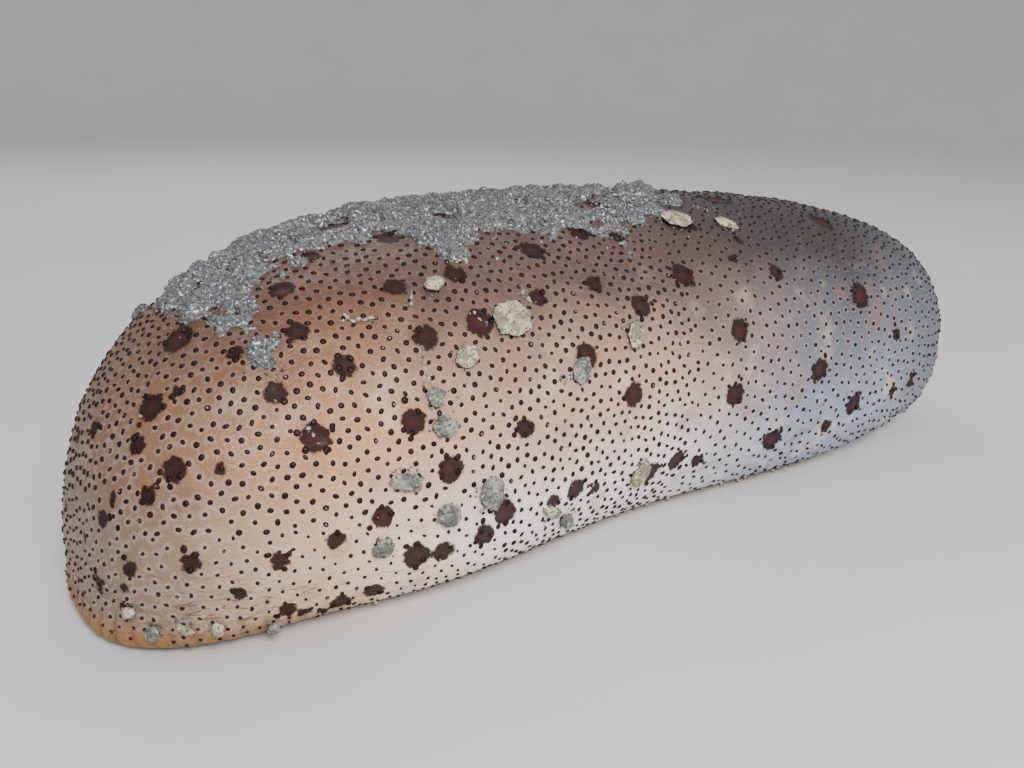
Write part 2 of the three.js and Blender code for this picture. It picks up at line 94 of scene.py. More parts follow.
def power(value, exponent):
    """A power that keeps the sign of the value."""
    return np.sign(value) * np.abs(value) ** exponent


def fullness(u, peak, shape):
    """How full the body is at u: 0 at both tips and 1 at the peak."""
    away = np.where(u < peak, (peak - u) / peak, (u - peak) / (1 - peak))
    exponent = np.where(u < peak, *shape)
    return np.clip(1 - away ** exponent, 0, 1) ** (1 / exponent)


def midline(u):
    """How far the middle of the body lies to the side at u."""
    return BEND * ((2 * u - 1) ** 2 - 1 / 3)


def flare_lip(x, y, z):
    """Spread the low skin of the mouth end on the floor, as a lip."""
    dx = x - (LIP_REACH - LENGTH / 2)
    dy = y - midline(LIP_REACH / LENGTH)
    away = np.maximum(np.hypot(dx, dy), 1e-6)
    heading = np.arctan2(dy, -dx)
    push = LIP_BASE + sum(amount * bell(heading - towards, spread) for towards, spread, amount in LIP_LOBES)
    low = np.clip(1 - z / LIP_HEIGHT, 0, None) ** 2
    push = push * low * smooth(dx, *LIP_FADE) * np.minimum(1, away / LIP_REACH) ** 3
    return x + push * dx / away, y + push * dy / away


def body_points(u, angle):
    """Points of the bare skin, for arrays of u and angle that match in shape."""
    u, angle = np.broadcast_arrays(np.asarray(u, float), np.asarray(angle, float))
    width = HALF_WIDTH * fullness(u, WIDEST_AT, PLAN_SHAPE)
    tip = np.where(u < HIGHEST_AT, ORAL_TIP, ANAL_TIP)
    top = tip + (HEIGHT - tip) * fullness(u, HIGHEST_AT, PROFILE_SHAPE)
    bottom = tip - (tip + SOLE_SINK) * fullness(u, 0.5, SOLE_SHAPE)
    waist = bottom + WAIST * (top - bottom)
    c, s = np.cos(angle), np.sin(angle)
    exponent = 2 / np.where(s >= 0, BACK_ROUND, BELLY_ROUND)
    y = midline(u) + width * power(c, exponent)
    z = waist + np.where(s >= 0, top - waist, waist - bottom) * power(s, exponent)
    turn = np.angle(np.exp(1j * (angle - FLANK_ANGLE)))
    for at, amount, reach in SWELLINGS:
        share = amount * bell(u - at, reach) * bell(turn, SWELLING_ROUND)
        y = y + share * c
        z = z + SWELLING_LIFT * share * s
    z = np.maximum(FOOT_HEIGHT, z)
    x, y = flare_lip(LENGTH * (u - 0.5), y, z)
    return np.stack([x, y, z], axis=-1)


def body_normal(u, angle):
    """The outward direction of the bare skin, from small steps along it and round it."""
    step = 2e-3
    u = np.clip(u, 2 * step, 1 - 2 * step)
    along = body_points(u + step, angle) - body_points(u - step, angle)
    around = body_points(u, angle + step) - body_points(u, angle - step)
    normal = np.cross(around, along)
    return normal / np.linalg.norm(normal, axis=-1, keepdims=True)


# %% [markdown]
# The solids stand with the middle of their box at the origin. Two of them tell how far the formula has to
# move: the face where the middle of the body begins, and the round disc of the mouth.

# %% Where the formula sits in the frame
mid_low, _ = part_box("mid_body")
mouth_low, mouth_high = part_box("mouth_tentacles")
mouth_x = MOUTH_FROM_TIP - LENGTH / 2
mouth_y = midline(MOUTH_FROM_TIP / LENGTH)
shift_x = 1000 * mid_low[0] - (LENGTH * (MID_BODY_FROM - 0.5) + CUT_GAP / 2)
shift_y = 500 * (mouth_low[1] + mouth_high[1]) - mouth_y
SHIFT = np.array([shift_x, shift_y, 0.0])
print("formula moved by", SHIFT.round(2), "mm")

# %% [markdown]
# ## The camera
# The camera comes early, because the blotches of the flank are placed by what it sees. Its place and its
# turns were found by laying the outline of the formula over the outline of the animal.

# %% Camera
IMAGE_WIDTH, IMAGE_HEIGHT = 1024, 768
FOCAL_PIXELS, SENSOR_WIDTH = 1015, 36
CAMERA_AT = np.array([-219.0, -262.0, 141.0])
YAW, PITCH_DOWN, ROLL = (math.radians(angle) for angle in (36.3, 17.7, 1.1))

level_ahead = np.array([math.sin(YAW), math.cos(YAW), 0.0])
forward = level_ahead * math.cos(PITCH_DOWN) - np.array([0.0, 0.0, math.sin(PITCH_DOWN)])
level_right = np.array([math.cos(YAW), -math.sin(YAW), 0.0])
level_up = np.cross(level_right, forward)
right = level_right * math.cos(ROLL) + level_up * math.sin(ROLL)
up = level_up * math.cos(ROLL) - level_right * math.sin(ROLL)

camera = bpy.data.objects.new("camera", bpy.data.cameras.new("camera"))
bpy.context.scene.collection.objects.link(camera)
camera.data.sensor_fit = "HORIZONTAL"
camera.data.sensor_width = SENSOR_WIDTH
camera.data.lens = SENSOR_WIDTH * FOCAL_PIXELS / IMAGE_WIDTH
camera.data.clip_start = 0.01
turned = Matrix((right, up, -forward)).transposed().to_4x4()
camera.matrix_world = Matrix.Translation(Vector((CAMERA_AT + SHIFT) / 1000)) @ turned
bpy.context.scene.camera = camera
print("lens of", round(camera.data.lens, 1), "mm, standing at", camera.matrix_world.translation)


def to_pixels(points):
    """Where points of the formula fall in the picture, and how far in front of the camera they are."""
    ray = points - CAMERA_AT
    depth = ray @ forward
    across = IMAGE_WIDTH / 2 + FOCAL_PIXELS * (ray @ right) / depth
    down = IMAGE_HEIGHT / 2 - FOCAL_PIXELS * (ray @ up) / depth
    return across, down, depth


# %% [markdown]
# ## Ways to work
# Three small tools carry the rest of the lesson. One turns a mesh, or arrays of points and faces, into a
# piece. One makes a node, in a material or in Geometry Nodes alike. One wraps a node's socket, so that
# plus, minus and times in a finish can be written as plain expressions.

# %% Make a piece from a mesh or from points
def place_mesh(name, mesh):
    """A smooth shaded object in the scene."""
    mesh.polygons.foreach_set("use_smooth", [True] * len(mesh.polygons))
    placed = bpy.data.objects.new(name, mesh)
    bpy.context.scene.collection.objects.link(placed)
    return placed


def animal_piece(name, mesh):
    """A piece that rides with the body and keeps the finish its mesh carries."""
    piece = place_mesh(name, mesh)
    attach(piece, "root")
    print(f"{name}: {len(mesh.vertices)} points, {len(mesh.polygons)} faces")
    return piece


def carry(mesh, label, values):
    """Store one number for each point of a mesh."""
    layer = mesh.attributes.new(label, "FLOAT", "POINT")
    layer.data.foreach_set("value", np.asarray(values, np.float32).ravel())


def face_outwards(mesh):
    shape = bmesh.new()
    shape.from_mesh(mesh)
    bmesh.ops.recalc_face_normals(shape, faces=shape.faces)
    shape.to_mesh(mesh)
    shape.free()


def new_piece(name, points, faces, material, numbers=None):
    """A piece from points in the formula's millimetres, with the numbers that its finish reads."""
    mesh = bpy.data.meshes.new(name)
    mesh.from_pydata(((points + SHIFT) / 1000).tolist(), [], [list(face) for face in faces])
    for label, values in (numbers or {}).items():
        carry(mesh, label, values)
    mesh.materials.append(material)
    face_outwards(mesh)
    return animal_piece(name, mesh)


def tube_faces(rings, sectors):
    """Faces of a closed skin: a first point, rings of sectors points each, and a last point."""
    j = np.arange(sectors)
    k = (j + 1) % sectors
    faces = [(0, 1 + a, 1 + b) for a, b in zip(j, k)]
    for ring in range(rings - 1):
        low, high = 1 + ring * sectors, 1 + (ring + 1) * sectors
        faces.extend(zip(low + j, high + j, high + k, low + k))
    end = 1 + rings * sectors
    last = end - sectors
    faces.extend((end, last + b, last + a) for a, b in zip(j, k))
    return faces


def turned_shape(radii, heights, sectors, wobble=None):
    """Points and faces of a form turned about the Z axis, from the radius and height of each ring."""
    angles = 2 * np.pi * np.arange(sectors) / sectors
    spread = np.ones(sectors) if wobble is None else wobble(angles)
    points = [(0.0, 0.0, heights[0])]
    for radius, height in zip(radii[1:-1], heights[1:-1]):
        reach = radius * spread
        points.extend(zip(reach * np.cos(angles), reach * np.sin(angles), [height] * sectors))
    points.append((0.0, 0.0, heights[-1]))
    return np.array(points, float), tube_faces(len(radii) - 2, sectors)


def joined(parts):
    """Several (points, faces) as one."""
    points, faces, start = [], [], 0
    for more_points, more_faces in parts:
        points.append(more_points)
        faces.extend([tuple(corner + start for corner in face) for face in more_faces])
        start += len(more_points)
    return np.concatenate(points), faces


# %% Make a node, and calculate with sockets
def make_node(tree, kind, settings=None, inputs=None, out=0):
    """A node with its settings made first, then its sockets filled with values or links."""
    node = tree.nodes.new(kind)
    for name, value in (settings or {}).items():
        if name == "stops":
            set_stops(node.color_ramp, value)
        else:
            setattr(node, name, value)
    for key, value in (inputs or {}).items():
        if isinstance(value, Wire):
            tree.links.new(value.socket, node.inputs[key])
        else:
            node.inputs[key].default_value = value
    return Wire(tree, node.outputs[out]) if len(node.outputs) else None


def set_stops(ramp, stops):
    while len(ramp.elements) < len(stops):
        ramp.elements.new(1.0)
    for element, (position, shade) in zip(ramp.elements, stops):
        element.position = position
        element.color = shade


class Wire:
    """The output of a node. Plus, minus and times on it make a node of that kind."""

    def __init__(self, tree, socket):
        self.tree = tree
        self.socket = socket

    def maths(self, operation, first, second):
        return make_node(self.tree, "ShaderNodeMath", {"operation": operation}, {0: first, 1: second})

    def __add__(self, other):
        return self.maths("ADD", self, other)

    __radd__ = __add__

    def __sub__(self, other):
        return self.maths("SUBTRACT", self, other)

    def __rsub__(self, other):
        return self.maths("SUBTRACT", other, self)

    def __mul__(self, other):
        return self.maths("MULTIPLY", self, other)

    __rmul__ = __mul__

    def step(self, low, high):
        """0 at low and 1 at high, eased; low may be the larger number."""
        settings = {"interpolation_type": "SMOOTHSTEP"}
        inputs = {0: self, 1: low, 2: high, 3: 0.0, 4: 1.0}
        return make_node(self.tree, "ShaderNodeMapRange", settings, inputs)


# %% [markdown]
# ## Finishes
# Every finish works on the piece's own coordinates in millimetres, or on numbers that the mesh carries, so
# that a pattern stays where it is from every side.

# %% Helpers for finishes
def colour(red, green, blue):
    """A colour as it is seen, from 0 to 1, as the linear numbers that the shader mixes."""
    return (*(c / 12.92 if c <= 0.04045 else ((c + 0.055) / 1.055) ** 2.4 for c in (red, green, blue)), 1.0)


def new_material(name):
    material = bpy.data.materials.new(name)
    material.use_nodes = True
    material.node_tree.nodes.clear()
    place = make_node(material.node_tree, "ShaderNodeTexCoord", out="Object")
    in_mm = {"operation": "SCALE"}
    return material, make_node(material.node_tree, "ShaderNodeVectorMath", in_mm, {0: place, "Scale": 1000.0})


def axis(place, letter):
    return make_node(place.tree, "ShaderNodeSeparateXYZ", None, {0: place}, letter)


def carried(place, label):
    """A number that the mesh carries at each point."""
    return make_node(place.tree, "ShaderNodeAttribute", {"attribute_name": label}, out="Fac")


def cloud(place, size, detail=2.0):
    """Soft noise round 0, with lumps of about this size in millimetres."""
    inputs = {"Vector": place, "Scale": 1.0 / size, "Detail": detail}
    return make_node(place.tree, "ShaderNodeTexNoise", None, inputs) - 0.5


def squashed(place, share):
    """The same places with X and Y drawn together, so that a pattern comes out long along the floor."""
    settings = {"operation": "MULTIPLY"}
    return make_node(place.tree, "ShaderNodeVectorMath", settings, {0: place, 1: (share, share, 1.0)})


def wavy_lines(place, size):
    """Thin broken lines, where soft noise passes through its middle."""
    line = cloud(place, size)
    line = line.maths("ABSOLUTE", line, 0.0).step(0.035, 0.0)
    return line * cloud(place, 3 * size).step(-0.12, 0.1)


def cells(place, size, feature="DISTANCE_TO_EDGE"):
    inputs = {"Vector": place, "Scale": 1.0 / size}
    return make_node(place.tree, "ShaderNodeTexVoronoi", {"feature": feature}, inputs, "Distance")


def blend(factor, first, second):
    """From the first colour at 0 to the second at 1."""
    settings = {"data_type": "RGBA", "clamp_factor": True}
    return make_node(factor.tree, "ShaderNodeMix", settings, {0: factor, 6: first, 7: second}, 2)


def finish_material(place, base, roughness, height, depth, strength=0.6, **constants):
    """Close a finish: a Principled shader with a bump whose depth is in millimetres."""
    bumps = {"Height": height, "Distance": depth / 1000, "Strength": strength}
    normal = make_node(place.tree, "ShaderNodeBump", None, bumps, "Normal")
    inputs = {"Base Color": base, "Roughness": roughness, "Normal": normal}
    inputs.update({name.replace("_", " "): value for name, value in constants.items()})
    shader = make_node(place.tree, "ShaderNodeBsdfPrincipled", None, inputs)
    make_node(place.tree, "ShaderNodeOutputMaterial", None, {"Surface": shader})


# %% [markdown]
# The skin is tan at the mouth end, reddish brown on the back and lilac white low on the rear flank. A pale
# halo lies round every dot, and the blotches are chocolate with a redder middle and a ragged edge. It is
# wet, so a thin clear coat gives it small sharp glints over a softer gloss.

# %% Skin finish
# each band of height has a tone at the head, in the middle and at the rear
LOW_TONES = colour(0.92, 0.77, 0.63), colour(0.98, 0.96, 0.95), colour(0.61, 0.635, 0.72)
FLANK_TONES = colour(0.79, 0.56, 0.38), colour(0.81, 0.65, 0.54), colour(0.45, 0.46, 0.51)
BACK_TONES = colour(0.37, 0.24, 0.18), colour(0.355, 0.275, 0.25), colour(0.20, 0.185, 0.19)
# where each tone gives way to the next, along the body and up from the floor
HEAD_TO_MIDDLE, MIDDLE_TO_REAR = (-138.0, -62.0), (-36.0, 66.0)
LOW_TO_FLANK, FLANK_TO_BACK = (18.0, 54.0), (45.0, 85.0)
PALE_CLOUD, BROWN_CLOUD = colour(0.95, 0.84, 0.70), colour(0.60, 0.39, 0.26)
# the dull head and dull rear tones are painted shade: they darken the body towards both ends, where the light
# falls off
WARM_BACK, SHADED_HEAD, SHADED_REAR = colour(0.50, 0.34, 0.25), colour(0.34, 0.28, 0.25), colour(0.29, 0.31, 0.35)
# the wrinkle tone is painted shade along the skin's fine wrinkles
PALE_HALO, WRINKLE_SHADE, LIP_STAIN = colour(0.80, 0.72, 0.70), colour(0.36, 0.23, 0.16), colour(0.60, 0.40, 0.17)
# the crease tone is painted shade, laid in the troughs of the lip's folds
# the dark vent tone is painted shade, laid in the hole of the vent
CREASE_SHADE, PALE_SOLE, VENT_SHADE = colour(0.28, 0.16, 0.09), colour(0.84, 0.75, 0.67), colour(0.20, 0.11, 0.09)
BLOTCH_DARK, BLOTCH_MIDDLE = colour(0.14, 0.045, 0.04), colour(0.32, 0.13, 0.095)


def skin_colour(place):
    """The ground colour: bands of height, with pale and brown clouds over them, and painted shade that
    darkens both ends.
    """
    x, z = axis(place, "X"), axis(place, "Z")
    drift = cloud(place, 45)
    mottle = cloud(place, 13, 4.0)
    behind_head = (x + 60 * drift).step(*HEAD_TO_MIDDLE)
    rear = (x + 50 * drift).step(*MIDDLE_TO_REAR)
    low, flank, back = (
        blend(rear, blend(behind_head, at_head, in_middle), at_rear)
        for at_head, in_middle, at_rear in (LOW_TONES, FLANK_TONES, BACK_TONES))
    height = z + 24 * drift + 10 * mottle
    base = blend(height.step(*LOW_TO_FLANK), low, flank)
    base = blend(height.step(*FLANK_TO_BACK), base, back)
    base = blend(mottle.step(0.03, 0.25) * 0.45 * z.step(90.0, 55.0), base, PALE_CLOUD)
    base = blend(mottle.step(-0.03, -0.22) * 0.45 * z.step(92.0, 60.0), base, BROWN_CLOUD)
    warm_back = mottle.step(0.0, 0.2) * z.step(52.0, 78.0) * x.step(20.0, -50.0)
    base = blend(warm_back * 0.3, base, WARM_BACK)
    # painted shade: both ends of the body darker and greyer, as if less light reached them
    base = blend(x.step(-106.0, -168.0) * 0.8, base, SHADED_HEAD)
    return blend(x.step(84.0, 156.0) * 0.72, base, SHADED_REAR)


def skin_finish():
    """The skin, with its halos, the painted shade of its wrinkles and lip creases, stained lip, blotches,
    pale sole and painted shade in the vent.
    """
    material, place = new_material("moist_skin")
    x, z = axis(place, "X"), axis(place, "Z")
    base = skin_colour(place)
    halo = carried(place, "dot_distance").step(1.8, 0.9)
    base = blend(halo * (0.05 + 0.19 * z.step(84.0, 46.0)), base, PALE_HALO)

    low_front = z.step(32.0, 12.0) * x.step(-80.0, -125.0)
    wrinkle = wavy_lines(squashed(place, 0.22), 2.4) * (low_front + 0.2 * z.step(34.0, 16.0))
    # painted shade along the fine wrinkles of the low front; the same lines are also sunk into the bump
    base = blend(wrinkle * 0.6, base, WRINKLE_SHADE)
    lip = (z + 8 * cloud(place, 8)).step(12.0, 3.0) * x.step(-105.0, -140.0)
    base = blend(lip * 0.85, base, LIP_STAIN)
    # painted shade in the troughs of the lip's folds
    base = blend(carried(place, "crease") * 0.5, base, CREASE_SHADE)
    base = blend(carried(place, "sole"), base, PALE_SOLE)

    ragged = carried(place, "blotch_edge") + 3.0 * cloud(place, 1.6, 3.0)
    blotch = ragged.step(0.45, -0.35)
    middle = (carried(place, "blotch_edge") + 3.0 * cloud(place, 2.5)).step(-1.2, -4.0)
    dark = blend(middle * 0.5, BLOTCH_DARK, BLOTCH_MIDDLE)
    base = blend(blotch * 0.98, base, dark)
    # painted shade in the hole of the vent
    base = blend(carried(place, "pit"), base, VENT_SHADE)

    grain = cells(place, 1.3).step(0.0, 0.3) + cloud(place, 0.7) * 0.8 + cloud(place, 3.5) * 1.5
    grain = grain - 1.5 * wrinkle
    shine = 0.42 + 0.25 * cloud(place, 2.5) + 0.3 * blotch
    wet = dict(Coat_Weight=0.06, Coat_Roughness=0.14, Specular_IOR_Level=0.26)
    finish_material(place, base, shine, grain, 0.17, **wet)
    return material


skin_material = skin_finish()

# %% [markdown]
# The dots of the skin are tiny warts: nearly black, with a brown tip that is pale on a few of them, partly
# their own pale tip and partly a painted glint. The mesh of a wart carries its own radius, 0 at the tip and 1
# at the foot, and the finish reads it.

# %% Finishes of dots, feet and tentacles
def dot_finish():
    """A nearly black ring, a tip that is pale on a few warts, partly as a painted glint, and a soft edge."""
    material, place = new_material("skin_dot")
    out = carried(place, "radius") + 0.25 * cloud(place, 0.6)
    ring = blend(carried(place, "tint"), colour(0.07, 0.02, 0.025), colour(0.17, 0.055, 0.045))
    # the pale tip of a few warts is partly their own pale tip and partly a painted glint
    tip = blend(carried(place, "tint").step(0.90, 0.97), colour(0.16, 0.06, 0.05), colour(0.78, 0.70, 0.64))
    base = blend(out.step(0.08, 0.36), tip, ring)
    base = blend(out.step(0.92, 1.12) * 0.4, base, colour(0.62, 0.45, 0.36))
    finish_material(place, base, 0.45, cloud(place, 0.5), 0.04, Coat_Weight=0.03, Specular_IOR_Level=0.2)
    return material


def flesh_finish(name, root, tip, edge):
    """Soft flesh that changes colour from its root to its tip, by the number the mesh carries."""
    material, place = new_material(name)
    out = carried(place, "radius") + 0.3 * cloud(place, 1.5)
    base = blend(out.step(0.15, 0.75), root, tip)
    base = blend(out.step(0.85, 1.0) * 0.8, base, edge)
    finish_material(place, base, 0.34, cloud(place, 0.8, 3.0), 0.08, Coat_Weight=0.25, Coat_Roughness=0.15)
    return material


dot_material = dot_finish()
foot_material = flesh_finish(
    "tube_foot", colour(0.86, 0.78, 0.70), colour(0.90, 0.84, 0.76), colour(0.45, 0.28, 0.20))
tentacle_material = flesh_finish(
    "tentacle_flesh", colour(0.40, 0.24, 0.16), colour(0.55, 0.36, 0.24), colour(0.82, 0.70, 0.55))

# %% [markdown]
# Sand is a mix of minerals, so each grain carries one random number that a ramp turns into dark slate,
# grey or clear white, and faint clouds of brown and pale grey lie over it. The slime that binds the sand
# is the same mix, seen finely.

# %% Finishes of sand and shell
SAND_STOPS = [
    (0.0, colour(0.24, 0.245, 0.26)),
    (0.3, colour(0.32, 0.325, 0.34)),
    (0.62, colour(0.385, 0.395, 0.41)),
    (0.88, colour(0.46, 0.46, 0.455)),
    (0.97, colour(0.56, 0.565, 0.575)),
    (1.0, colour(0.86, 0.87, 0.90)),
]


def sand_finish(name, by_grain):
    """Sand whose tone comes from a number on each grain, or from fine cells where it is a bed."""
    material, place = new_material(name)
    if by_grain:
        speckle = carried(place, "tint") + 0.15 * cloud(place, 0.4)
        shine = 0.66 - 0.35 * carried(place, "tint").step(0.7, 1.0)
    else:
        speckle = cells(place, 0.8, "F1") * 1.3
        shine = 0.8 + 0.1 * cloud(place, 2)
    base = make_node(place.tree, "ShaderNodeValToRGB", {"stops": SAND_STOPS}, {0: speckle})
    base = blend(cloud(place, 6.0).step(0.0, 0.2) * 0.3, base, colour(0.29, 0.27, 0.25))
    base = blend(cloud(place, 2.2).step(0.03, 0.2) * 0.4, base, colour(0.62, 0.60, 0.56))
    finish_material(place, base, shine, cells(place, 0.6, "F1"), 0.15)
    return material


def shell_finish(name, pale, dark):
    """Worn shell: stained and pitted, with dark specks of sand in its pits."""
    material, place = new_material(name)
    stain = cloud(place, 3.0, 5.0)
    pits = cells(place, 0.9, "F1")
    base = blend(stain.step(-0.12, 0.12), pale, dark)
    base = blend(cloud(place, 0.8, 3.0).step(0.02, 0.12) * 0.8, base, colour(0.22, 0.21, 0.21))
    base = blend(cloud(place, 1.1, 3.0).step(-0.12, -0.2) * 0.6, base, colour(0.90, 0.89, 0.84))
    finish_material(place, base, 0.6 + 0.3 * stain, pits + 2.5 * stain, 0.4)
    return material


grain_material = sand_finish("sand_grains", True)
bed_material = sand_finish("sand_bed", False)
shell_materials = [
    shell_finish("cream_shell", colour(0.78, 0.74, 0.62), colour(0.53, 0.49, 0.39)),
    shell_finish("grey_shell", colour(0.58, 0.58, 0.54), colour(0.37, 0.38, 0.36)),
]


def slime_finish():
    """Drying slime with fine sand in it."""
    material, place = new_material("slime_thread")
    base = blend(cloud(place, 0.9, 3.0).step(-0.1, 0.1), colour(0.72, 0.70, 0.62), colour(0.40, 0.39, 0.37))
    finish_material(place, base, 0.7, cloud(place, 0.6, 3.0), 0.2)
    return material


slime_material = slime_finish()
finishes = [skin_material, dot_material, foot_material, tentacle_material]
finishes += [grain_material, bed_material, *shell_materials, slime_material]
print("finishes:", [finish.name for finish in finishes])

# %% [markdown]
# ## The skin
# The skin is one closed mesh, so that no seam shows where the solids part. Its rings and sectors are set
# at even steps along the surface, not at even steps of the formula, or the faces would be long at the
# ends and at the edge of the sole.

# %% Even steps over the body
RINGS, SECTORS = 322, 300


def even_steps(curve, values, count):
    """Values of a parameter that divide a curve into equal lengths."""
    gone = np.concatenate([[0], np.cumsum(np.linalg.norm(np.diff(curve, axis=0), axis=1))])
    return np.interp(np.linspace(0, gone[-1], count), gone, values)


fine_u = (1 - np.cos(np.linspace(0, np.pi, 20001))) / 2
profile = np.stack([LENGTH * fine_u, HALF_WIDTH * fullness(fine_u, WIDEST_AT, PLAN_SHAPE)], axis=1)
ring_u = even_steps(profile, fine_u, RINGS + 2)[1:-1]
fine_angle = np.linspace(0, 2 * np.pi, 40001)
sector_angle = even_steps(body_points(0.45, fine_angle), fine_angle, SECTORS + 1)[:-1]
grid_u, grid_angle = np.meshgrid(ring_u, sector_angle, indexing="ij")
bare = body_points(grid_u, grid_angle)

along = np.gradient(bare, axis=0)
around = np.roll(bare, -1, axis=1) - np.roll(bare, 1, axis=1)
normals = np.cross(around, along)
normals /= np.maximum(np.linalg.norm(normals, axis=2, keepdims=True), 1e-9)
print("grid", bare.shape, "mean normal on top", normals[:, SECTORS // 4].mean(axis=0).round(2))

# %% [markdown]
# The dark blotches of the near flank are listed: each is a pixel of the picture and a radius in
# pixels. The point of the skin that the camera sees there becomes the blotch's middle, so the blotch is
# right from every side. The far flank has blotches of the same kind, scattered with a fixed seed.

# %% Blotches
# each: pixels across, pixels down, and the radius in pixels
BLOTCHES_SEEN = [
    (178, 341, 16), (151, 408, 14), (178, 393, 6), (135, 446, 9), (175, 469, 12), (218, 469, 6),
    (114, 497, 6), (146, 496, 9), (103, 518, 9), (131, 568, 8), (189, 563, 9), (98, 584, 8),
    (127, 608, 8), (237, 592, 7), (282, 559, 9), (335, 541, 9), (276, 392, 11), (236, 351, 8),
    (295, 332, 11), (282, 289, 12), (344, 367, 11), (315, 440, 14), (78, 440, 7), (95, 430, 8),
    (126, 586, 5), (68, 507, 5), (87, 537, 5), (288, 607, 9), (304, 610, 7), (339, 601, 10),
    (322, 610, 6), (338, 227, 17), (440, 217, 11), (387, 238, 11), (311, 257, 10), (394, 288, 11),
    (454, 277, 11), (532, 253, 12), (579, 235, 10), (616, 239, 7), (480, 322, 14), (426, 336, 12),
    (536, 298, 9), (594, 283, 9), (642, 305, 11), (682, 274, 12), (586, 355, 12), (413, 420, 13),
    (524, 427, 10), (634, 395, 12), (690, 227, 7), (740, 240, 4), (717, 200, 15), (732, 261, 5),
    (738, 330, 11), (735, 395, 11), (819, 369, 11), (860, 297, 12), (895, 335, 6), (776, 274, 8),
    (854, 405, 11), (827, 426, 7), (770, 441, 11), (892, 391, 5), (911, 380, 7), (822, 222, 12),
    (450, 470, 13), (384, 516, 11), (416, 553, 13), (443, 553, 11), (484, 534, 11), (505, 510, 13),
    (551, 502, 8), (574, 490, 11), (596, 489, 6), (373, 590, 10), (649, 473, 11), (677, 461, 11),
    (697, 461, 7), (512, 206, 10), (593, 207, 10),
]
BLOTCH_GROWTH = 1.1
HIDDEN_BLOTCHES, HIDDEN_SPACING, HIDDEN_TRIES = 70, 19.0, 3000
HIDDEN_LOWEST, HIDDEN_FACING = 14, -20
SMALLEST_BLOTCH, LARGEST_BLOTCH = 2.6, 5.6
FAR_FROM_BLOTCH = 30.0

across, down, depth = to_pixels(bare)
facing = np.einsum("ijk,ijk->ij", normals, CAMERA_AT - bare)
seen = facing > 0


def seen_spot(x, y, radius=1):
    """The point of the skin that is seen at a pixel, and how large the radius in pixels is there."""
    miss = np.where(seen, np.hypot(across - x, down - y), np.inf)
    at = np.unravel_index(np.argmin(miss), miss.shape)
    return bare[at], radius * depth[at] / FOCAL_PIXELS


blotches = [seen_spot(x, y, BLOTCH_GROWTH * radius) for x, y, radius in BLOTCHES_SEEN]
dice = np.random.default_rng(17)
hidden = bare[(facing < HIDDEN_FACING) & (bare[..., 2] > HIDDEN_LOWEST)]
for _ in range(HIDDEN_TRIES):
    spot = hidden[dice.integers(len(hidden))]
    if all(np.linalg.norm(spot - middle) > HIDDEN_SPACING for middle, _ in blotches):
        blotches.append((spot, dice.uniform(SMALLEST_BLOTCH, LARGEST_BLOTCH)))
    if len(blotches) >= len(BLOTCHES_SEEN) + HIDDEN_BLOTCHES:
        break
blotch_edge = np.full(bare.shape[:2], FAR_FROM_BLOTCH)
for middle, radius in blotches:
    blotch_edge = np.minimum(blotch_edge, np.linalg.norm(bare - middle, axis=2) - radius)
blotch_radii = [round(float(radius), 1) for _, radius in blotches]
print(len(blotches), "blotches with radii of", min(blotch_radii), "to", max(blotch_radii), "mm")

# %% [markdown]
# The formula gives a smooth balloon. Real skin is leathery: it has soft lumps, folds into pebbles low on
# the rear flank, creases across the lip, and rises a little round each blotch. These are moves of the
# mesh along its own normal, because a bump alone would leave the outline too clean.

# %% Relief of the skin
# layers of soft lumps: the size of a lump, and its share of the relief
SKIN_LUMPS = [(16, 0.7), (5, 0.3)]
PEBBLE_SIZE, PEBBLE_STEEPNESS, PEBBLE_FLATTENED = 6.0, 2.2, [1, 1, 1.5]
PEBBLE_RISE, PEBBLE_RISE_LOW_REAR = 0.15, 0.75
BLOTCH_RISE, BLOTCH_RIM_WIDTH = 0.35, 1.2
LIP_CREASES, CREASE_DEPTH = 74, 0.2
# where each kind of relief begins and is full, in millimetres up from the floor or along the body
OFF_SOLE, LOW_REAR_ALONG, LOW_REAR_UP = (2.0, 10.0), (-70, 60), (22, 62)
LIP_ZONE_UP, LIP_ZONE_ALONG, FOLDS_UP, CREASES_UP = (22, 6), (0, -30), (1.4, 3.5), (16, 8)


def noise_over(points, size, kind=noise.noise):
    """A kind of noise at every point, with lumps of about this size in millimetres."""
    flat = (points.reshape(-1, 3) / size).tolist()
    return np.array([kind(Vector(point)) for point in flat]).reshape(points.shape[:-1])


def layered_noise(points, layers):
    """The sum of layers of soft noise, each with a size and a share."""
    return sum(share * noise_over(points, size) for size, share in layers)


def pebble(point):
    """0 on the border between two pebbles, and more towards their middles."""
    near, far = noise.voronoi(point)[0][:2]
    return min(1.0, PEBBLE_STEEPNESS * (far - near))


height = bare[..., 2]
off_sole = smooth(height, *OFF_SOLE)
lumps = layered_noise(bare, SKIN_LUMPS)
pebbles = noise_over(bare * PEBBLE_FLATTENED, PEBBLE_SIZE, pebble) - 0.5
low_rear = smooth(bare[..., 0], *LOW_REAR_ALONG) * (1 - smooth(height, *LOW_REAR_UP))
relief = off_sole * (lumps + PEBBLE_RISE_LOW_REAR * low_rear * pebbles + PEBBLE_RISE * pebbles)
relief += off_sole * BLOTCH_RISE * bell(blotch_edge, BLOTCH_RIM_WIDTH)

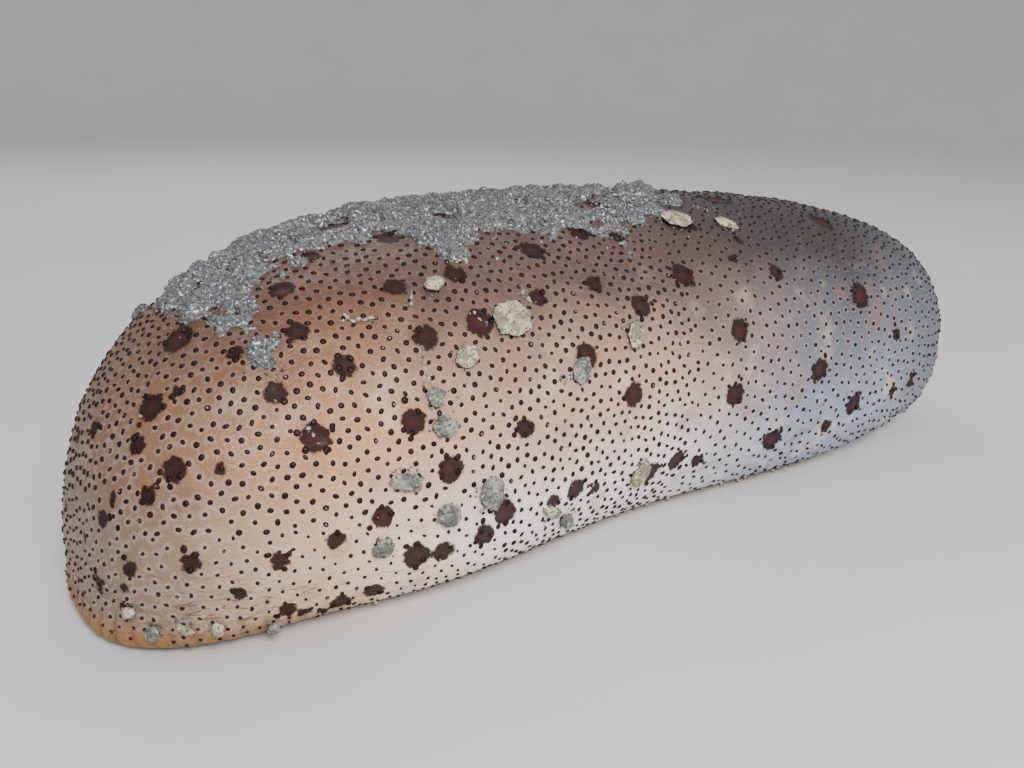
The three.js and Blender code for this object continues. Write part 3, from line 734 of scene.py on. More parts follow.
lip_x, lip_y = bare[..., 0] - (LIP_REACH - LENGTH / 2), bare[..., 1] - midline(LIP_REACH / LENGTH)
heading = np.arctan2(lip_y, -lip_x)
lip_zone = smooth(height, *LIP_ZONE_UP) * smooth(lip_x, *LIP_ZONE_ALONG)
fold = np.cos(LIP_CREASES * heading + 2.5 * lumps + 1.5 * np.sin(9 * heading))
relief += lip_zone * smooth(height, *FOLDS_UP) * CREASE_DEPTH * (fold - 0.3)
# the troughs of the lip's folds, which the skin's finish gives painted shade
crease = lip_zone * smooth(fold, -0.55, -0.98) * smooth(height, *CREASES_UP)
skin = bare + normals * relief[..., None]
print("relief from", relief.min().round(2), "to", relief.max().round(2), "mm")

# %% [markdown]
# Two places need more than relief. Under the mouth end the skin turns in round the crown of tentacles,
# and its edge there is puckered. At the far end it rises in a ribbed rim and drops into the vent.

# %% The recess of the mouth and the rim of the vent
UNDERSIDE_DEPTH, RECESS_WALL, RECESS_GAP = 0.5, 1.6, 0.2
PUCKERS, PUCKER_RISE, PUCKER_OUT, PUCKER_WIDTH = 28, 0.5, 2.5, 2.2
VENT_AT, VENT_RIM, VENT_RISE, VENT_HOLE, VENT_DEPTH = 0.984, 8.0, 2.0, 5.2, 6.5
VENT_ZONE, VENT_RIM_WIDTH = (22, 16), 2.6
VENT_RIBS, VENT_RIB_RISE, VENT_RIB_WIDTH = 30, 0.35, 4.5

from_mouth = np.hypot(bare[..., 0] - mouth_x, bare[..., 1] - mouth_y)
underneath = height < FOOT_HEIGHT + UNDERSIDE_DEPTH
recess = underneath * smooth(from_mouth, MOUTH_RADIUS, MOUTH_RADIUS - RECESS_WALL)
skin[..., 2] += recess * (SOLE_TOP - FOOT_HEIGHT - RECESS_GAP)
pucker = underneath * bell(from_mouth - MOUTH_RADIUS - PUCKER_OUT, PUCKER_WIDTH)
mouth_heading = np.arctan2(bare[..., 1] - mouth_y, bare[..., 0] - mouth_x)
skin[..., 2] += pucker * PUCKER_RISE * (1 + np.cos(PUCKERS * mouth_heading)) * 0.5

vent = body_points(VENT_AT, math.pi / 2)
vent_axis = body_normal(VENT_AT, math.pi / 2)
side = np.array([0.0, 1.0, 0.0])
vent_up = np.cross(vent_axis, side)
offset = bare - vent
from_vent = np.linalg.norm(offset - (offset @ vent_axis)[..., None] * vent_axis, axis=2)
at_vent = smooth(np.linalg.norm(offset, axis=2), *VENT_ZONE)
vent_heading = np.arctan2(offset @ vent_up, offset @ side)
rim = VENT_RISE * bell(from_vent - VENT_RIM, VENT_RIM_WIDTH) * (0.85 + 0.15 * np.cos(5 * vent_heading))
rim += VENT_RIB_RISE * bell(from_vent - VENT_RIM, VENT_RIB_WIDTH) * np.cos(VENT_RIBS * vent_heading)
hole = VENT_DEPTH * smooth(from_vent, VENT_HOLE, 1.0)
skin += ((rim - hole) * at_vent)[..., None] * vent_axis
# the hole of the vent, which the skin's finish gives painted shade
pit = at_vent * smooth(from_vent, VENT_HOLE, 2.5)
skin[..., 2] = np.maximum(skin[..., 2], FOOT_HEIGHT - 0.3)
print("skin from", skin[..., 2].min().round(1), "to", skin[..., 2].max().round(1), "mm above the floor")

# %% [markdown]
# The sand on the back has a wavy far edge and, on the near side, tongues that run down the flank. The
# same formula tells the skin where loose grains may lie, so it is written here, before the skin is made.

# %% Edges of the sand
# the two edges, in degrees round the body, and the step where the near edge drops
SAND_NEAR, SAND_FAR = 100, 64
SAND_STEP, SAND_STEP_REACH = 17, (0.262, 0.282)
# waves of the far edge: the height in degrees, and how fast they turn along u
FAR_WAVES = [(5, 55), (3, 131)]
# tongues and bays of the near edge: where in u, how far down in degrees, how wide in u
SAND_LOBES = [
    (0.120, 38, 0.014), (0.290, 6, 0.012), (0.365, -8, 0.010),
    (0.394, 5, 0.012), (0.468, 10, 0.016), (0.575, -15, 0.035),
]
# the three patches: the first u, the last u, and the last angle in degrees
SAND_PATCHES = {
    "sand_crust_front": (0.076, 0.2621, 150),
    "sand_crust_middle": (0.2619, 0.4321, 138),
    "sand_crust_rear": (0.4319, 0.621, 138),
}
# bare gaps: where in u, where in degrees, and the radius in millimetres
SAND_GAPS = [
    (0.239, 90, 5), (0.191, 103, 3.4), (0.256, 106, 3.6), (0.322, 99, 4), (0.408, 96, 4), (0.350, 74, 3.5),
    (0.485, 104, 4.5), (0.526, 95, 6), (0.560, 80, 4.5),
]
SAND_FROM, SAND_TO = 0.092, 0.605
MM_PER_DEGREE = 1.05
# clumps outside the shore: pixels across, pixels down, and the radius in pixels
CLUMPS_SEEN = [
    (232, 322, 10), (245, 332, 8), (252, 342, 9), (266, 362, 12), (284, 371, 4), (246, 374, 7), (300, 264, 8),
    (283, 276, 7), (434, 261, 7), (455, 248, 7),
]
# loose grains: how many at the shore, and how far in millimetres until few are left
STRAYS_ROUND_SAND = [(0.2, 3.0), (0.006, 25.0)]
STRAYS_LOWEST = 30


def sand_edges(u):
    """The far and near edge of the sand, as angles in degrees."""
    near = SAND_NEAR + SAND_STEP * smooth(u, *SAND_STEP_REACH)
    near = near + sum(drop * bell(u - at, width) for at, drop, width in SAND_LOBES)
    far = SAND_FAR
    for wave, turns in FAR_WAVES:
        far = far + wave * np.sin(u * turns)
    return far, near


far_edge, near_edge = sand_edges(grid_u)
degrees = np.degrees(grid_angle)
beyond = np.maximum(far_edge - degrees, degrees - near_edge) * MM_PER_DEGREE
beyond = np.maximum(beyond, np.maximum(SAND_FROM - grid_u, grid_u - SAND_TO) * LENGTH)
beyond = np.maximum(beyond, 0)
strays = sum(share * np.exp(-beyond / reach) for share, reach in STRAYS_ROUND_SAND)
strays *= np.where(np.sin(grid_angle) > -0.1, 1.0, 0.0) * (height > STRAYS_LOWEST)
print("share of the skin under the sand:", (beyond == 0).mean().round(2))

# %% [markdown]
# Grains also gather round each chip of shell, and hang in short threads of slime on the near flank. Each
# thread is a few pixels of the picture, placed on the skin as the blotches are.

# %% Threads of slime, and the feet of the chips
THREADS_SEEN = [
    [(417, 354), (423, 368), (429, 379), (434, 394)],
    [(465, 362), (467, 376), (466, 384), (459, 392)],
    [(412, 291), (410, 299), (409, 306)],
    [(520, 285), (524, 297), (532, 303)],
    [(472, 306), (475, 317), (481, 323)],
    [(342, 312), (352, 320), (376, 318)],
    [(559, 375), (566, 380), (574, 379)],
    [(313, 401), (317, 406), (322, 412)],
    [(301, 421), (308, 427), (313, 436)],
]
THREAD_RADIUS, THREAD_SIDES, THREAD_STEP, THREAD_SWAY = 0.42, 7, 0.5, 0.8
SWAY_LENGTH, LUMP_LENGTH, LUMP_GROWTH, LUMP_SEED = 1.5, 1.1, 1.5, 9.0
# grains along a thread and round a chip: how many, and over how many millimetres
STRAYS_ON_THREAD, STRAYS_ROUND_CHIP = (0.35, 1.0), (0.6, 1.2)
CHIP_FOOT = 0.42
chip_nodes = sorted(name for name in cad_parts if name.startswith("shell_chip"))


def from_segment(points, start, end):
    """How far points are from a straight line between two places."""
    line = end - start
    share = np.clip((points - start) @ line / (line @ line), 0, 1)
    return np.linalg.norm(points - start - share[..., None] * line, axis=-1)


def thread_tube(places, seed):
    """Points and faces of a thread that swells and thins as it winds from place to place."""
    gone = np.cumsum([0.0, *(np.linalg.norm(np.diff(places, axis=0), axis=1))])
    steps = np.linspace(0, gone[-1], max(8, int(gone[-1] / THREAD_STEP)))
    centre = np.stack([np.interp(steps, gone, places[:, k]) for k in range(3)], axis=1)
    wave = np.array([noise.noise(Vector((step / SWAY_LENGTH, seed, 0.0))) for step in steps])
    lump = np.array([noise.noise(Vector((step / LUMP_LENGTH, seed, LUMP_SEED))) for step in steps])
    outward = CAMERA_AT - centre[0]
    outward = outward / np.linalg.norm(outward)
    ahead = np.gradient(centre, axis=0)
    ahead = ahead / np.linalg.norm(ahead, axis=1, keepdims=True)
    sideways = np.cross(ahead, outward)
    centre = centre + THREAD_SWAY * wave[:, None] * sideways
    taper = np.minimum(1, 4 * np.minimum(steps, gone[-1] - steps) + 0.2)
    radius = THREAD_RADIUS * (1 + LUMP_GROWTH * np.maximum(lump, -0.3)) * taper
    turns = 2 * np.pi * np.arange(THREAD_SIDES) / THREAD_SIDES
    ring = np.cos(turns)[:, None, None] * sideways + np.sin(turns)[:, None, None] * np.cross(sideways, ahead)
    rings = centre + radius[:, None] * ring
    points = np.concatenate([centre[:1], rings.transpose(1, 0, 2).reshape(-1, 3), centre[-1:]])
    return points, tube_faces(len(steps), THREAD_SIDES)


def with_strays(share, reach, distance):
    """The loose grains, with more of them within reach of something."""
    return np.maximum(strays, share * bell(distance, reach))


threads = []
for number, thread in enumerate(THREADS_SEEN):
    places = np.array([seen_spot(x, y)[0] for x, y in thread])
    threads.append(thread_tube(places, 3.0 * number))
    for start, end in zip(places, places[1:]):
        strays = with_strays(*STRAYS_ON_THREAD, from_segment(bare, start, end))
for node in chip_nodes:
    low, high = (1000 * np.array(corner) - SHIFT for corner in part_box(node))
    from_chip = np.linalg.norm(bare - (low + high) / 2, axis=2) - CHIP_FOOT * np.sort(high - low)[1:].mean()
    strays = with_strays(*STRAYS_ROUND_CHIP, from_chip)
points, faces = joined(threads)
new_piece("slime_threads", points, faces, slime_material)

# %% [markdown]
# Tube feet stand in three bands along the sole, and the dots keep off the sole, the blotches and the
# vent. The skin carries these as numbers from 0 to 1, and the scatter below reads them.

# %% Where feet and dots stand
# bands of feet, as shares of the half width: the middle of a band and its width
SIDE_BAND, MIDDLE_BAND_WIDTH = (0.62, 0.13), 0.16
FEET_FROM_MOUTH, FEET_BEGIN = 7, (0.16, 0.2)
DOTS_BEGIN_AT_HEIGHT, DOTS_OFF_BLOTCH, DOTS_OFF_VENT = (3.0, 6.0), (0.2, 1.0), (13, 10)
WARTS_INSIDE_EDGE, WARTS_SPREAD = 0.3, 0.9
PALE_SOLE_UP, PALE_SOLE_ALONG = (1.6, 4.0), (-125, -95)
LOW_FRONT_TOP, LOW_FRONT_END = 34, -75
# the dots of each part: the smallest and largest share of the dot's size, and the spacing in millimetres
DOT_PARTS = {
    "low_front": (0.45, 0.8, 3.1),
    "front": (0.65, 1.15, 2.98),
    "rear": (0.62, 1.02, 3.9),
}

share_across = (bare[..., 1] - midline(grid_u)) / HALF_WIDTH
side_band = bell(np.abs(share_across) - SIDE_BAND[0], SIDE_BAND[1])
bands = np.maximum(side_band, bell(share_across, MIDDLE_BAND_WIDTH))
on_sole = (skin[..., 2] < FOOT_HEIGHT + 0.4) & (from_mouth > MOUTH_RADIUS + FEET_FROM_MOUTH)
feet_here = on_sole * smooth(bands, 0.3, 0.7) * smooth(grid_u, *FEET_BEGIN)
above_sole = smooth(height, *DOTS_BEGIN_AT_HEIGHT)
dots_here = above_sole * smooth(blotch_edge, *DOTS_OFF_BLOTCH)
dots_here *= 1 - at_vent * smooth(from_vent, *DOTS_OFF_VENT)
low_front = (height < LOW_FRONT_TOP) & (bare[..., 0] < LOW_FRONT_END)
dot_part = np.where(low_front, 0, np.where(bare[..., 0] < 0, 1, 2))
dots_in = {"dots_" + part: dots_here * (dot_part == number) for number, part in enumerate(DOT_PARTS)}
blotch_rim = bell(blotch_edge + WARTS_INSIDE_EDGE, WARTS_SPREAD) * above_sole
pale_sole = (1 - smooth(height, *PALE_SOLE_UP)) * smooth(bare[..., 0], *PALE_SOLE_ALONG)
print("points with feet:", (feet_here > 0).sum(), "and with dots:", (dots_here > 0).sum())

# %% Build the skin
FLESH_NODES = [
    "oral_end", "fore_body", "mid_body", "hind_body", "anal_end",
    "oral_collar", "sole_front", "sole_middle", "sole_rear",
]


def with_tips(values, at_tips=0):
    """The values of the rings in one row, with the same value at both tips of the skin."""
    return np.concatenate([[at_tips], values.reshape(-1), [at_tips]])


skin_points = np.concatenate([[skin[0].mean(axis=0)], skin.reshape(-1, 3), [skin[-1].mean(axis=0)]])
skin_numbers = {
    "blotch_edge": with_tips(blotch_edge, FAR_FROM_BLOTCH),
    "crease": with_tips(crease),
    "sole": with_tips(pale_sole),
    "pit": with_tips(pit),
    "feet_here": with_tips(feet_here),
    **{label: with_tips(values) for label, values in dots_in.items()},
    "blotch_rim": with_tips(blotch_rim),
    "strays": with_tips(strays),
    "dot_distance": with_tips(np.zeros(bare.shape[:2])),
}
skin_faces = tube_faces(RINGS, SECTORS)
skin_piece = new_piece("skin", skin_points, skin_faces, skin_material, skin_numbers)
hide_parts(*FLESH_NODES)

# %% [markdown]
# ## Scattering
# Dots, tube feet and grains all repeat over a surface. One Geometry Nodes tree serves them: it spreads
# points no closer than a spacing, weighted by a number that the surface carries, sets a small shape on
# each with its own size and turn, makes them real, and gives them their finish.

# %% A tree that scatters a shape
ONLY_SPUN, ANY_WAY = (0.0, 0.0, 3.0), (3.0, 3.0, 3.0)


def group_input(tree, label):
    node = tree.nodes.new("NodeGroupInput")
    return Wire(tree, node.outputs[label])


def scatter_tree():
    """Points on a surface, a shape on each point with its own turn, size and tint, and its finish."""
    tree = bpy.data.node_groups.new("scatter", "GeometryNodeTree")
    kinds = {
        "Surface": "Geometry", "Shape": "Object", "Where": "String", "Spacing": "Float", "Density": "Float",
        "Smallest": "Vector", "Largest": "Vector", "Tumble": "Vector", "Seed": "Int", "Finish": "Material",
    }
    for label, kind in kinds.items():
        tree.interface.new_socket(label, in_out="INPUT", socket_type="NodeSocket" + kind)
    tree.interface.new_socket("Result", in_out="OUTPUT", socket_type="NodeSocketGeometry")
    given = {label: group_input(tree, label) for label in kinds}

    as_number = {"data_type": "FLOAT"}
    where = make_node(tree, "GeometryNodeInputNamedAttribute", as_number, {"Name": given["Where"]})
    spread = {
        "Mesh": given["Surface"], "Distance Min": given["Spacing"], "Density Max": given["Density"],
        "Density Factor": where, "Seed": given["Seed"],
    }
    points = make_node(tree, "GeometryNodeDistributePointsOnFaces", {"distribute_method": "POISSON"}, spread)
    upright = Wire(tree, points.socket.node.outputs["Rotation"])

    vectors = {"data_type": "FLOAT_VECTOR"}
    opposite = {0: given["Tumble"], "Scale": -1.0}
    back = make_node(tree, "ShaderNodeVectorMath", {"operation": "SCALE"}, opposite)
    turn = make_node(tree, "FunctionNodeRandomValue", vectors, {0: back, 1: given["Tumble"], "Seed": 1})
    turn = make_node(tree, "FunctionNodeEulerToRotation", None, {0: turn})
    turn = make_node(tree, "FunctionNodeRotateRotation", {"rotation_space": "LOCAL"}, {0: upright, 1: turn})
    sizes = {0: given["Smallest"], 1: given["Largest"], "Seed": 2}
    size = make_node(tree, "FunctionNodeRandomValue", vectors, sizes)
    shape = make_node(tree, "GeometryNodeObjectInfo", None, {"Object": given["Shape"]}, "Geometry")
    placed = {"Points": points, "Instance": shape, "Rotation": turn, "Scale": size}
    placed = make_node(tree, "GeometryNodeInstanceOnPoints", None, placed)

    tint = make_node(tree, "FunctionNodeRandomValue", {"data_type": "FLOAT"}, {2: 0.0, 3: 1.0, "Seed": 3}, 1)
    tinted = {"Geometry": placed, "Name": "tint", "Value": tint}
    per_instance = {"data_type": "FLOAT", "domain": "INSTANCE"}
    placed = make_node(tree, "GeometryNodeStoreNamedAttribute", per_instance, tinted)
    placed = make_node(tree, "GeometryNodeRealizeInstances", None, {0: placed})
    finished = {"Geometry": placed, "Material": given["Finish"]}
    placed = make_node(tree, "GeometryNodeSetMaterial", None, finished)
    make_node(tree, "NodeGroupOutput", None, {"Result": placed})
    return tree


scatter = scatter_tree()
print("scatter tree:", len(scatter.nodes), "nodes")


def scattered(name, surface, slot, **values):
    """A plain piece of what the scatter tree sets on a surface."""
    modifier = surface.modifiers.new("scatter", "NODES")
    modifier.node_group = scatter
    for item in scatter.interface.items_tree:
        if item.in_out == "INPUT" and item.name in values:
            modifier[item.identifier] = values[item.name]
    ready = bpy.context.evaluated_depsgraph_get()
    changed = surface.evaluated_get(ready)
    mesh = bpy.data.meshes.new_from_object(changed, preserve_all_data_layers=True, depsgraph=ready)
    surface.modifiers.remove(modifier)
    mesh.name = name
    return animal_piece(name, mesh)


def pattern_shape(name, points, faces, radius):
    """A small shape that is only a pattern for the scatter. It carries how far out each point is."""
    mesh = bpy.data.meshes.new(name)
    mesh.from_pydata((points / 1000).tolist(), [], faces)
    carry(mesh, "radius", radius)
    return bpy.data.objects.new(name, mesh)


# %% [markdown]
# A wart is a low dome with a foot sunk into the skin and a tip that dips a little. It has only a few
# dozen faces, because thousands of them cover the animal.

# %% Dots
DOT_RADIUS, DOT_HEIGHT, DOT_SIDES = 0.86, 0.4, 7
DOT_LOW, DOT_HIGH, DOT_DENSITY = 0.8, 1.3, 1.2e6
WARTS_ROUND_BLOTCHES = (0.85, 1.3, 2.6)
dot_radii = np.array([0, 1.0, 0.86, 0.46, 0]) * DOT_RADIUS
dot_heights = np.array([-0.4, -0.3, 0.55, 1.0, 0.8]) * DOT_HEIGHT
dot_points, dot_faces = turned_shape(dot_radii, dot_heights, DOT_SIDES)
dot_out = np.hypot(dot_points[:, 0], dot_points[:, 1]) / DOT_RADIUS
dot_shape = pattern_shape("dot_shape", dot_points, dot_faces, dot_out)


def dots(name, where, smallest, largest, spacing, seed):
    return scattered(
        name, skin_piece, "skin_back", Shape=dot_shape, Where=where, Spacing=spacing / 1000,
        Density=DOT_DENSITY, Smallest=(smallest, smallest, DOT_LOW), Largest=(largest, largest, DOT_HIGH),
        Tumble=ONLY_SPUN, Seed=seed, Finish=dot_material)


skin_dots = [
    dots("skin_dots_" + part, "dots_" + part, *sizes_and_spacing, 4 + number)
    for number, (part, sizes_and_spacing) in enumerate(DOT_PARTS.items())]
dots("blotch_warts", "blotch_rim", *WARTS_ROUND_BLOTCHES, 8)

# %% [markdown]
# The skin is paler in a ring round each dot. The finish of the skin can't know where the dots landed, so
# each point of the skin is given its distance to the nearest dot, and the finish reads that.

# %% Halos round the dots
feet_of_dots = []
for piece in skin_dots:
    corners = np.empty(3 * len(piece.data.vertices), np.float32)
    piece.data.vertices.foreach_get("co", corners)
    feet_of_dots.extend(corners.reshape(-1, len(dot_points), 3)[:, 0])
tree_of_dots = kdtree.KDTree(len(feet_of_dots))
for number, foot in enumerate(feet_of_dots):
    tree_of_dots.insert(foot, number)
tree_of_dots.balance()
nearest = [1000 * tree_of_dots.find(vertex.co)[2] for vertex in skin_piece.data.vertices]
skin_piece.data.attributes["dot_distance"].data.foreach_set("value", np.asarray(nearest, np.float32))
print(len(feet_of_dots), "dots")

# %% [markdown]
# A tube foot is a short soft column with a sucker at its end. The longest just reach the floor, so the
# height of the shape is the gap under the skin, and the scatter makes none of them longer than that.

# %% Tube feet
FOOT_RADIUS, FOOT_ROOT, FOOT_NECK, FOOT_SIDES = 0.75, 0.8, 0.2, 8
FOOT_SPACING, FOOT_DENSITY = 0.0034, 120000.0
foot_radii = np.array([0, 0.9, 0.75, 0.7, 1.05, 1.1, 0.7, 0]) * FOOT_RADIUS
foot_shares = np.array([0.75, 0.85, 0.97, 1.0, 0.9])
foot_heights = np.concatenate([[-FOOT_ROOT, -FOOT_ROOT, FOOT_NECK], foot_shares * FOOT_HEIGHT])
foot_points, foot_faces = turned_shape(foot_radii, foot_heights, FOOT_SIDES)
foot_out = np.clip((foot_points[:, 2] + FOOT_NECK) / FOOT_HEIGHT, 0, 1)
foot_shape = pattern_shape("foot_shape", foot_points, foot_faces, foot_out)
scattered(
    "tube_feet", skin_piece, "skin_sole", Shape=foot_shape, Where="feet_here", Spacing=FOOT_SPACING,
    Density=FOOT_DENSITY, Smallest=(0.8, 0.8, 0.92), Largest=(1.2, 1.2, 1.0), Tumble=ONLY_SPUN, Seed=8,
    Finish=foot_material)

# %% [markdown]
# ## The mouth
# Two rings of tentacles surround the throat. Each is a stalk with a shield at its end, and the edge of
# the shield is cut into small lobes that sweep sand into the mouth. They hang just above the floor.

# %% Tentacles
DISC_THICKNESS, THROAT, DISC_CLEARANCE, DISC_SIDES = 2.6, 2.4, 0.5, 80
TENTACLE_SIDES, TENTACLE_DROP, TENTACLE_SWAY = 28, 0.7, 0.12
# rings of tentacles: how many, the radius of the ring, and the radius of a shield
TENTACLE_RINGS = [(12, 11.9, 2.5), (8, 6.4, 2.1)]
# a tentacle from its root to the middle of its shield, in shares of the shield's radius
TENTACLE_RADII = np.array([0, 0.4, 0.38, 0.36, 0.45, 0.95, 1.0, 0.8, 0.4, 0])
# its rings in the disc, and then how high the others stand above its lowest ring
TENTACLE_ROOT, TENTACLE_ABOVE_END = [1.0, 1.0, -0.2], np.array([2.3, 1.7, 1.2, 0.7, 0.1, 0.0, 0.5])
disc_top = SOLE_TOP - CUT_GAP / 2
disc_under = disc_top - DISC_THICKNESS
disc_outer = MOUTH_RADIUS - DISC_CLEARANCE
disc_radii = [0, THROAT * 0.6, THROAT, disc_outer * 0.5, disc_outer - 0.8, disc_outer, disc_outer, 0]
disc_heights = np.array([1.6, 1.0, 0.0, -0.15, 0.0, 0.6, DISC_THICKNESS, DISC_THICKNESS]) + disc_under


def folds(turn):
    """The outline of the disc, with a shallow fold for each tentacle."""
    return 1 + 0.012 * np.cos(20 * turn)


def lobes_from(start):
    """The outline of a shield, whose lobes begin at this turn."""
    return lambda turn: 1 + 0.13 * np.cos(7 * turn + start) + 0.06 * np.cos(14 * turn)


disc_points, disc_faces = turned_shape(disc_radii, disc_heights, DISC_SIDES, folds)
crown = [(disc_points + [mouth_x, mouth_y, 0], disc_faces)]
crown_tint = [0.1 + 0.2 * np.hypot(disc_points[:, 0], disc_points[:, 1]) / disc_outer]
for count, ring_radius, head in TENTACLE_RINGS:
    for number in range(count):
        drop = disc_under - TENTACLE_DROP - TENTACLE_DROP * dice.random()
        size = head * (0.9 + 0.2 * dice.random())
        lobes = lobes_from(dice.uniform(0, 6))
        heights = np.concatenate([TENTACLE_ROOT, TENTACLE_ABOVE_END - drop])
        points, faces = turned_shape(TENTACLE_RADII * size, heights, TENTACLE_SIDES, lobes)
        turn = 2 * math.pi * (number + dice.uniform(-TENTACLE_SWAY, TENTACLE_SWAY)) / count
        reach = np.hypot(points[:, 0], points[:, 1]) / size
        points += [mouth_x + ring_radius * math.cos(turn), mouth_y + ring_radius * math.sin(turn), disc_under]
        crown.append((points, faces))
        crown_tint.append(np.clip(reach, 0, 1))
points, faces = joined(crown)
crown_numbers = {"radius": np.concatenate(crown_tint)}
tentacles = new_piece("tentacles", points, faces, tentacle_material, crown_numbers)
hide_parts("mouth_tentacles")

# %% [markdown]
# ## The vent
# Five groups of small papillae guard the vent. Each is a soft cone on the rim, and in a group they lean
# inwards and outwards by turns.

# %% Papillae of the vent
VENT_GROUPS, VENT_PER_GROUP, VENT_PAPILLA_RADIUS, VENT_PAPILLA_HEIGHT = 5, 5, 1.0, 3.0
PAPILLA_SIDES, PAPILLA_PITCH, PAPILLA_LEAN = 9, 0.14, 0.45
papilla_radii = np.array([0, 1, 0.9, 0.72, 0.5, 0.25, 0]) * VENT_PAPILLA_RADIUS
papilla_heights = np.array([-0.5, -0.5, 0.1, 0.4, 0.7, 0.93, 1.0]) * VENT_PAPILLA_HEIGHT


def set_on(points, at, direction, sideways):
    """Move points from the Z axis to a place and a direction."""
    across_it = np.cross(direction, sideways)
    across_it /= np.linalg.norm(across_it)
    square = np.cross(across_it, direction)
    return at + points[:, :1] * square + points[:, 1:2] * across_it + points[:, 2:] * direction


papillae, papilla_out = [], []
for group in range(VENT_GROUPS):
    for number in range(VENT_PER_GROUP):
        turn = 2 * math.pi * (group + PAPILLA_PITCH * (number - 2)) / VENT_GROUPS
        outward = math.cos(turn) * side + math.sin(turn) * vent_up
        reach = VENT_RIM * (1.14 if number % 2 else 0.98)
        points, faces = turned_shape(papilla_radii, papilla_heights, PAPILLA_SIDES)
        lean = vent_axis + PAPILLA_LEAN * outward * (1 if number % 2 else -0.2)
        lean = lean / np.linalg.norm(lean)
        at = vent + outward * reach + vent_axis * VENT_RISE * 0.6
        papillae.append((set_on(points, at, lean, outward), faces))
        papilla_out.append(1 - np.clip(points[:, 2] / VENT_PAPILLA_HEIGHT, 0, 1))
points, faces = joined(papillae)
vent_material = flesh_finish(
    "vent_flesh", colour(0.88, 0.80, 0.74), colour(0.55, 0.38, 0.31), colour(0.48, 0.32, 0.26))
new_piece("vent_papillae", points, faces, vent_material, {"radius": np.concatenate(papilla_out)})

# %% [markdown]
# ## Sand
# The crust is made in two steps, as it is in life: a bed of fine sand bound by slime, and coarse grains
# on top of it. The bed is a closed shell that reaches past the edges of the crust. A level, drawn by soft
# noise, decides where it stands above the skin and where it stays hidden under it, so that the shore of
# the sand is rounded and broken, with small outlying clumps, and the blotches in it stay bare.

# %% Bed of the crust
BED_ALONG, BED_ACROSS = 90, 110
BED_THICKNESS, BED_EDGE, BED_SUNK, BED_UNDER = 2.7, 0.6, 1.6, 2.2
# how many degrees the shell of the bed reaches past the far edge
FAR_MARGIN = 8
MOUND_PITCH, MOUND_LEVEL, MOUND_RISE, MOUND_WANDER = 16, 0.8, 0.35, 1.2
CRUMBS, CRUMB_RISE = [(5.0, 1.0), (1.8, 0.7)], 0.6
# how far the noise moves the shore, and the edges of gaps, blotches and clumps, in millimetres, and how
# much larger than itself the bare place of a gap or a blotch is
SHORE_WANDER, GAP_WANDER, GAP_GROWTH = 10, 3, 1.2
SHORE_NOISE = [(8, 1.0), (3, 0.5)]
# the level well inside the shore, and what it loses towards the rear, where the sand is thin
FULL_LEVEL, REAR_LOSS, REAR_REACH = 0.46, 0.22, (0.44, 0.58)
# the levels between which the bed comes up through the skin, and then heaps up
FILL_LEVELS, HEAP_LEVELS = (-0.05, 0.12), (0.0, 0.5)
clumps = [seen_spot(*clump) for clump in CLUMPS_SEEN]


def mound_height(along, degrees):
    """How thick the sand is, as a share, by the same formula as the solids."""
    turn = 2 * np.pi / MOUND_PITCH
    wave = np.cos(turn * along + MOUND_WANDER * np.sin(0.43 * turn * degrees))
    other_wave = np.cos(turn * degrees + MOUND_WANDER * np.sin(0.37 * turn * along))
    return MOUND_LEVEL + MOUND_RISE * (wave + other_wave) / 2


def sand_level(points, u, degrees):
    """Above 0 where sand lies. Noise draws the shore, the gaps and the clumps unevenly."""
    far, near = sand_edges(u)
    near_slope = np.gradient(near, axis=0) / np.gradient(u, axis=0) * MM_PER_DEGREE / LENGTH
    inland = np.minimum(degrees - far, (near - degrees) / np.sqrt(1 + near_slope ** 2)) * MM_PER_DEGREE
    inland = np.minimum(inland, np.minimum(u - SAND_FROM, SAND_TO - u) * LENGTH)
    uneven = layered_noise(points, SHORE_NOISE)
    full = FULL_LEVEL - REAR_LOSS * smooth(u, *REAR_REACH)
    level = np.minimum(inland / SHORE_WANDER, full) + uneven
    for at, middle_angle, reach in SAND_GAPS:
        from_gap = np.linalg.norm(points - body_points(at, math.radians(middle_angle)), axis=2)
        level = np.minimum(level, (from_gap - GAP_GROWTH * reach) / GAP_WANDER + uneven)
    for middle, radius in blotches[:len(BLOTCHES_SEEN)]:
        from_blotch = np.linalg.norm(points - middle, axis=2)
        level = np.minimum(level, (from_blotch - GAP_GROWTH * radius) / GAP_WANDER + uneven / 2)
    for middle, reach in clumps:
        from_clump = np.linalg.norm(points - middle, axis=2)
        level = np.maximum(level, (reach - from_clump) / GAP_WANDER + uneven)
    return level


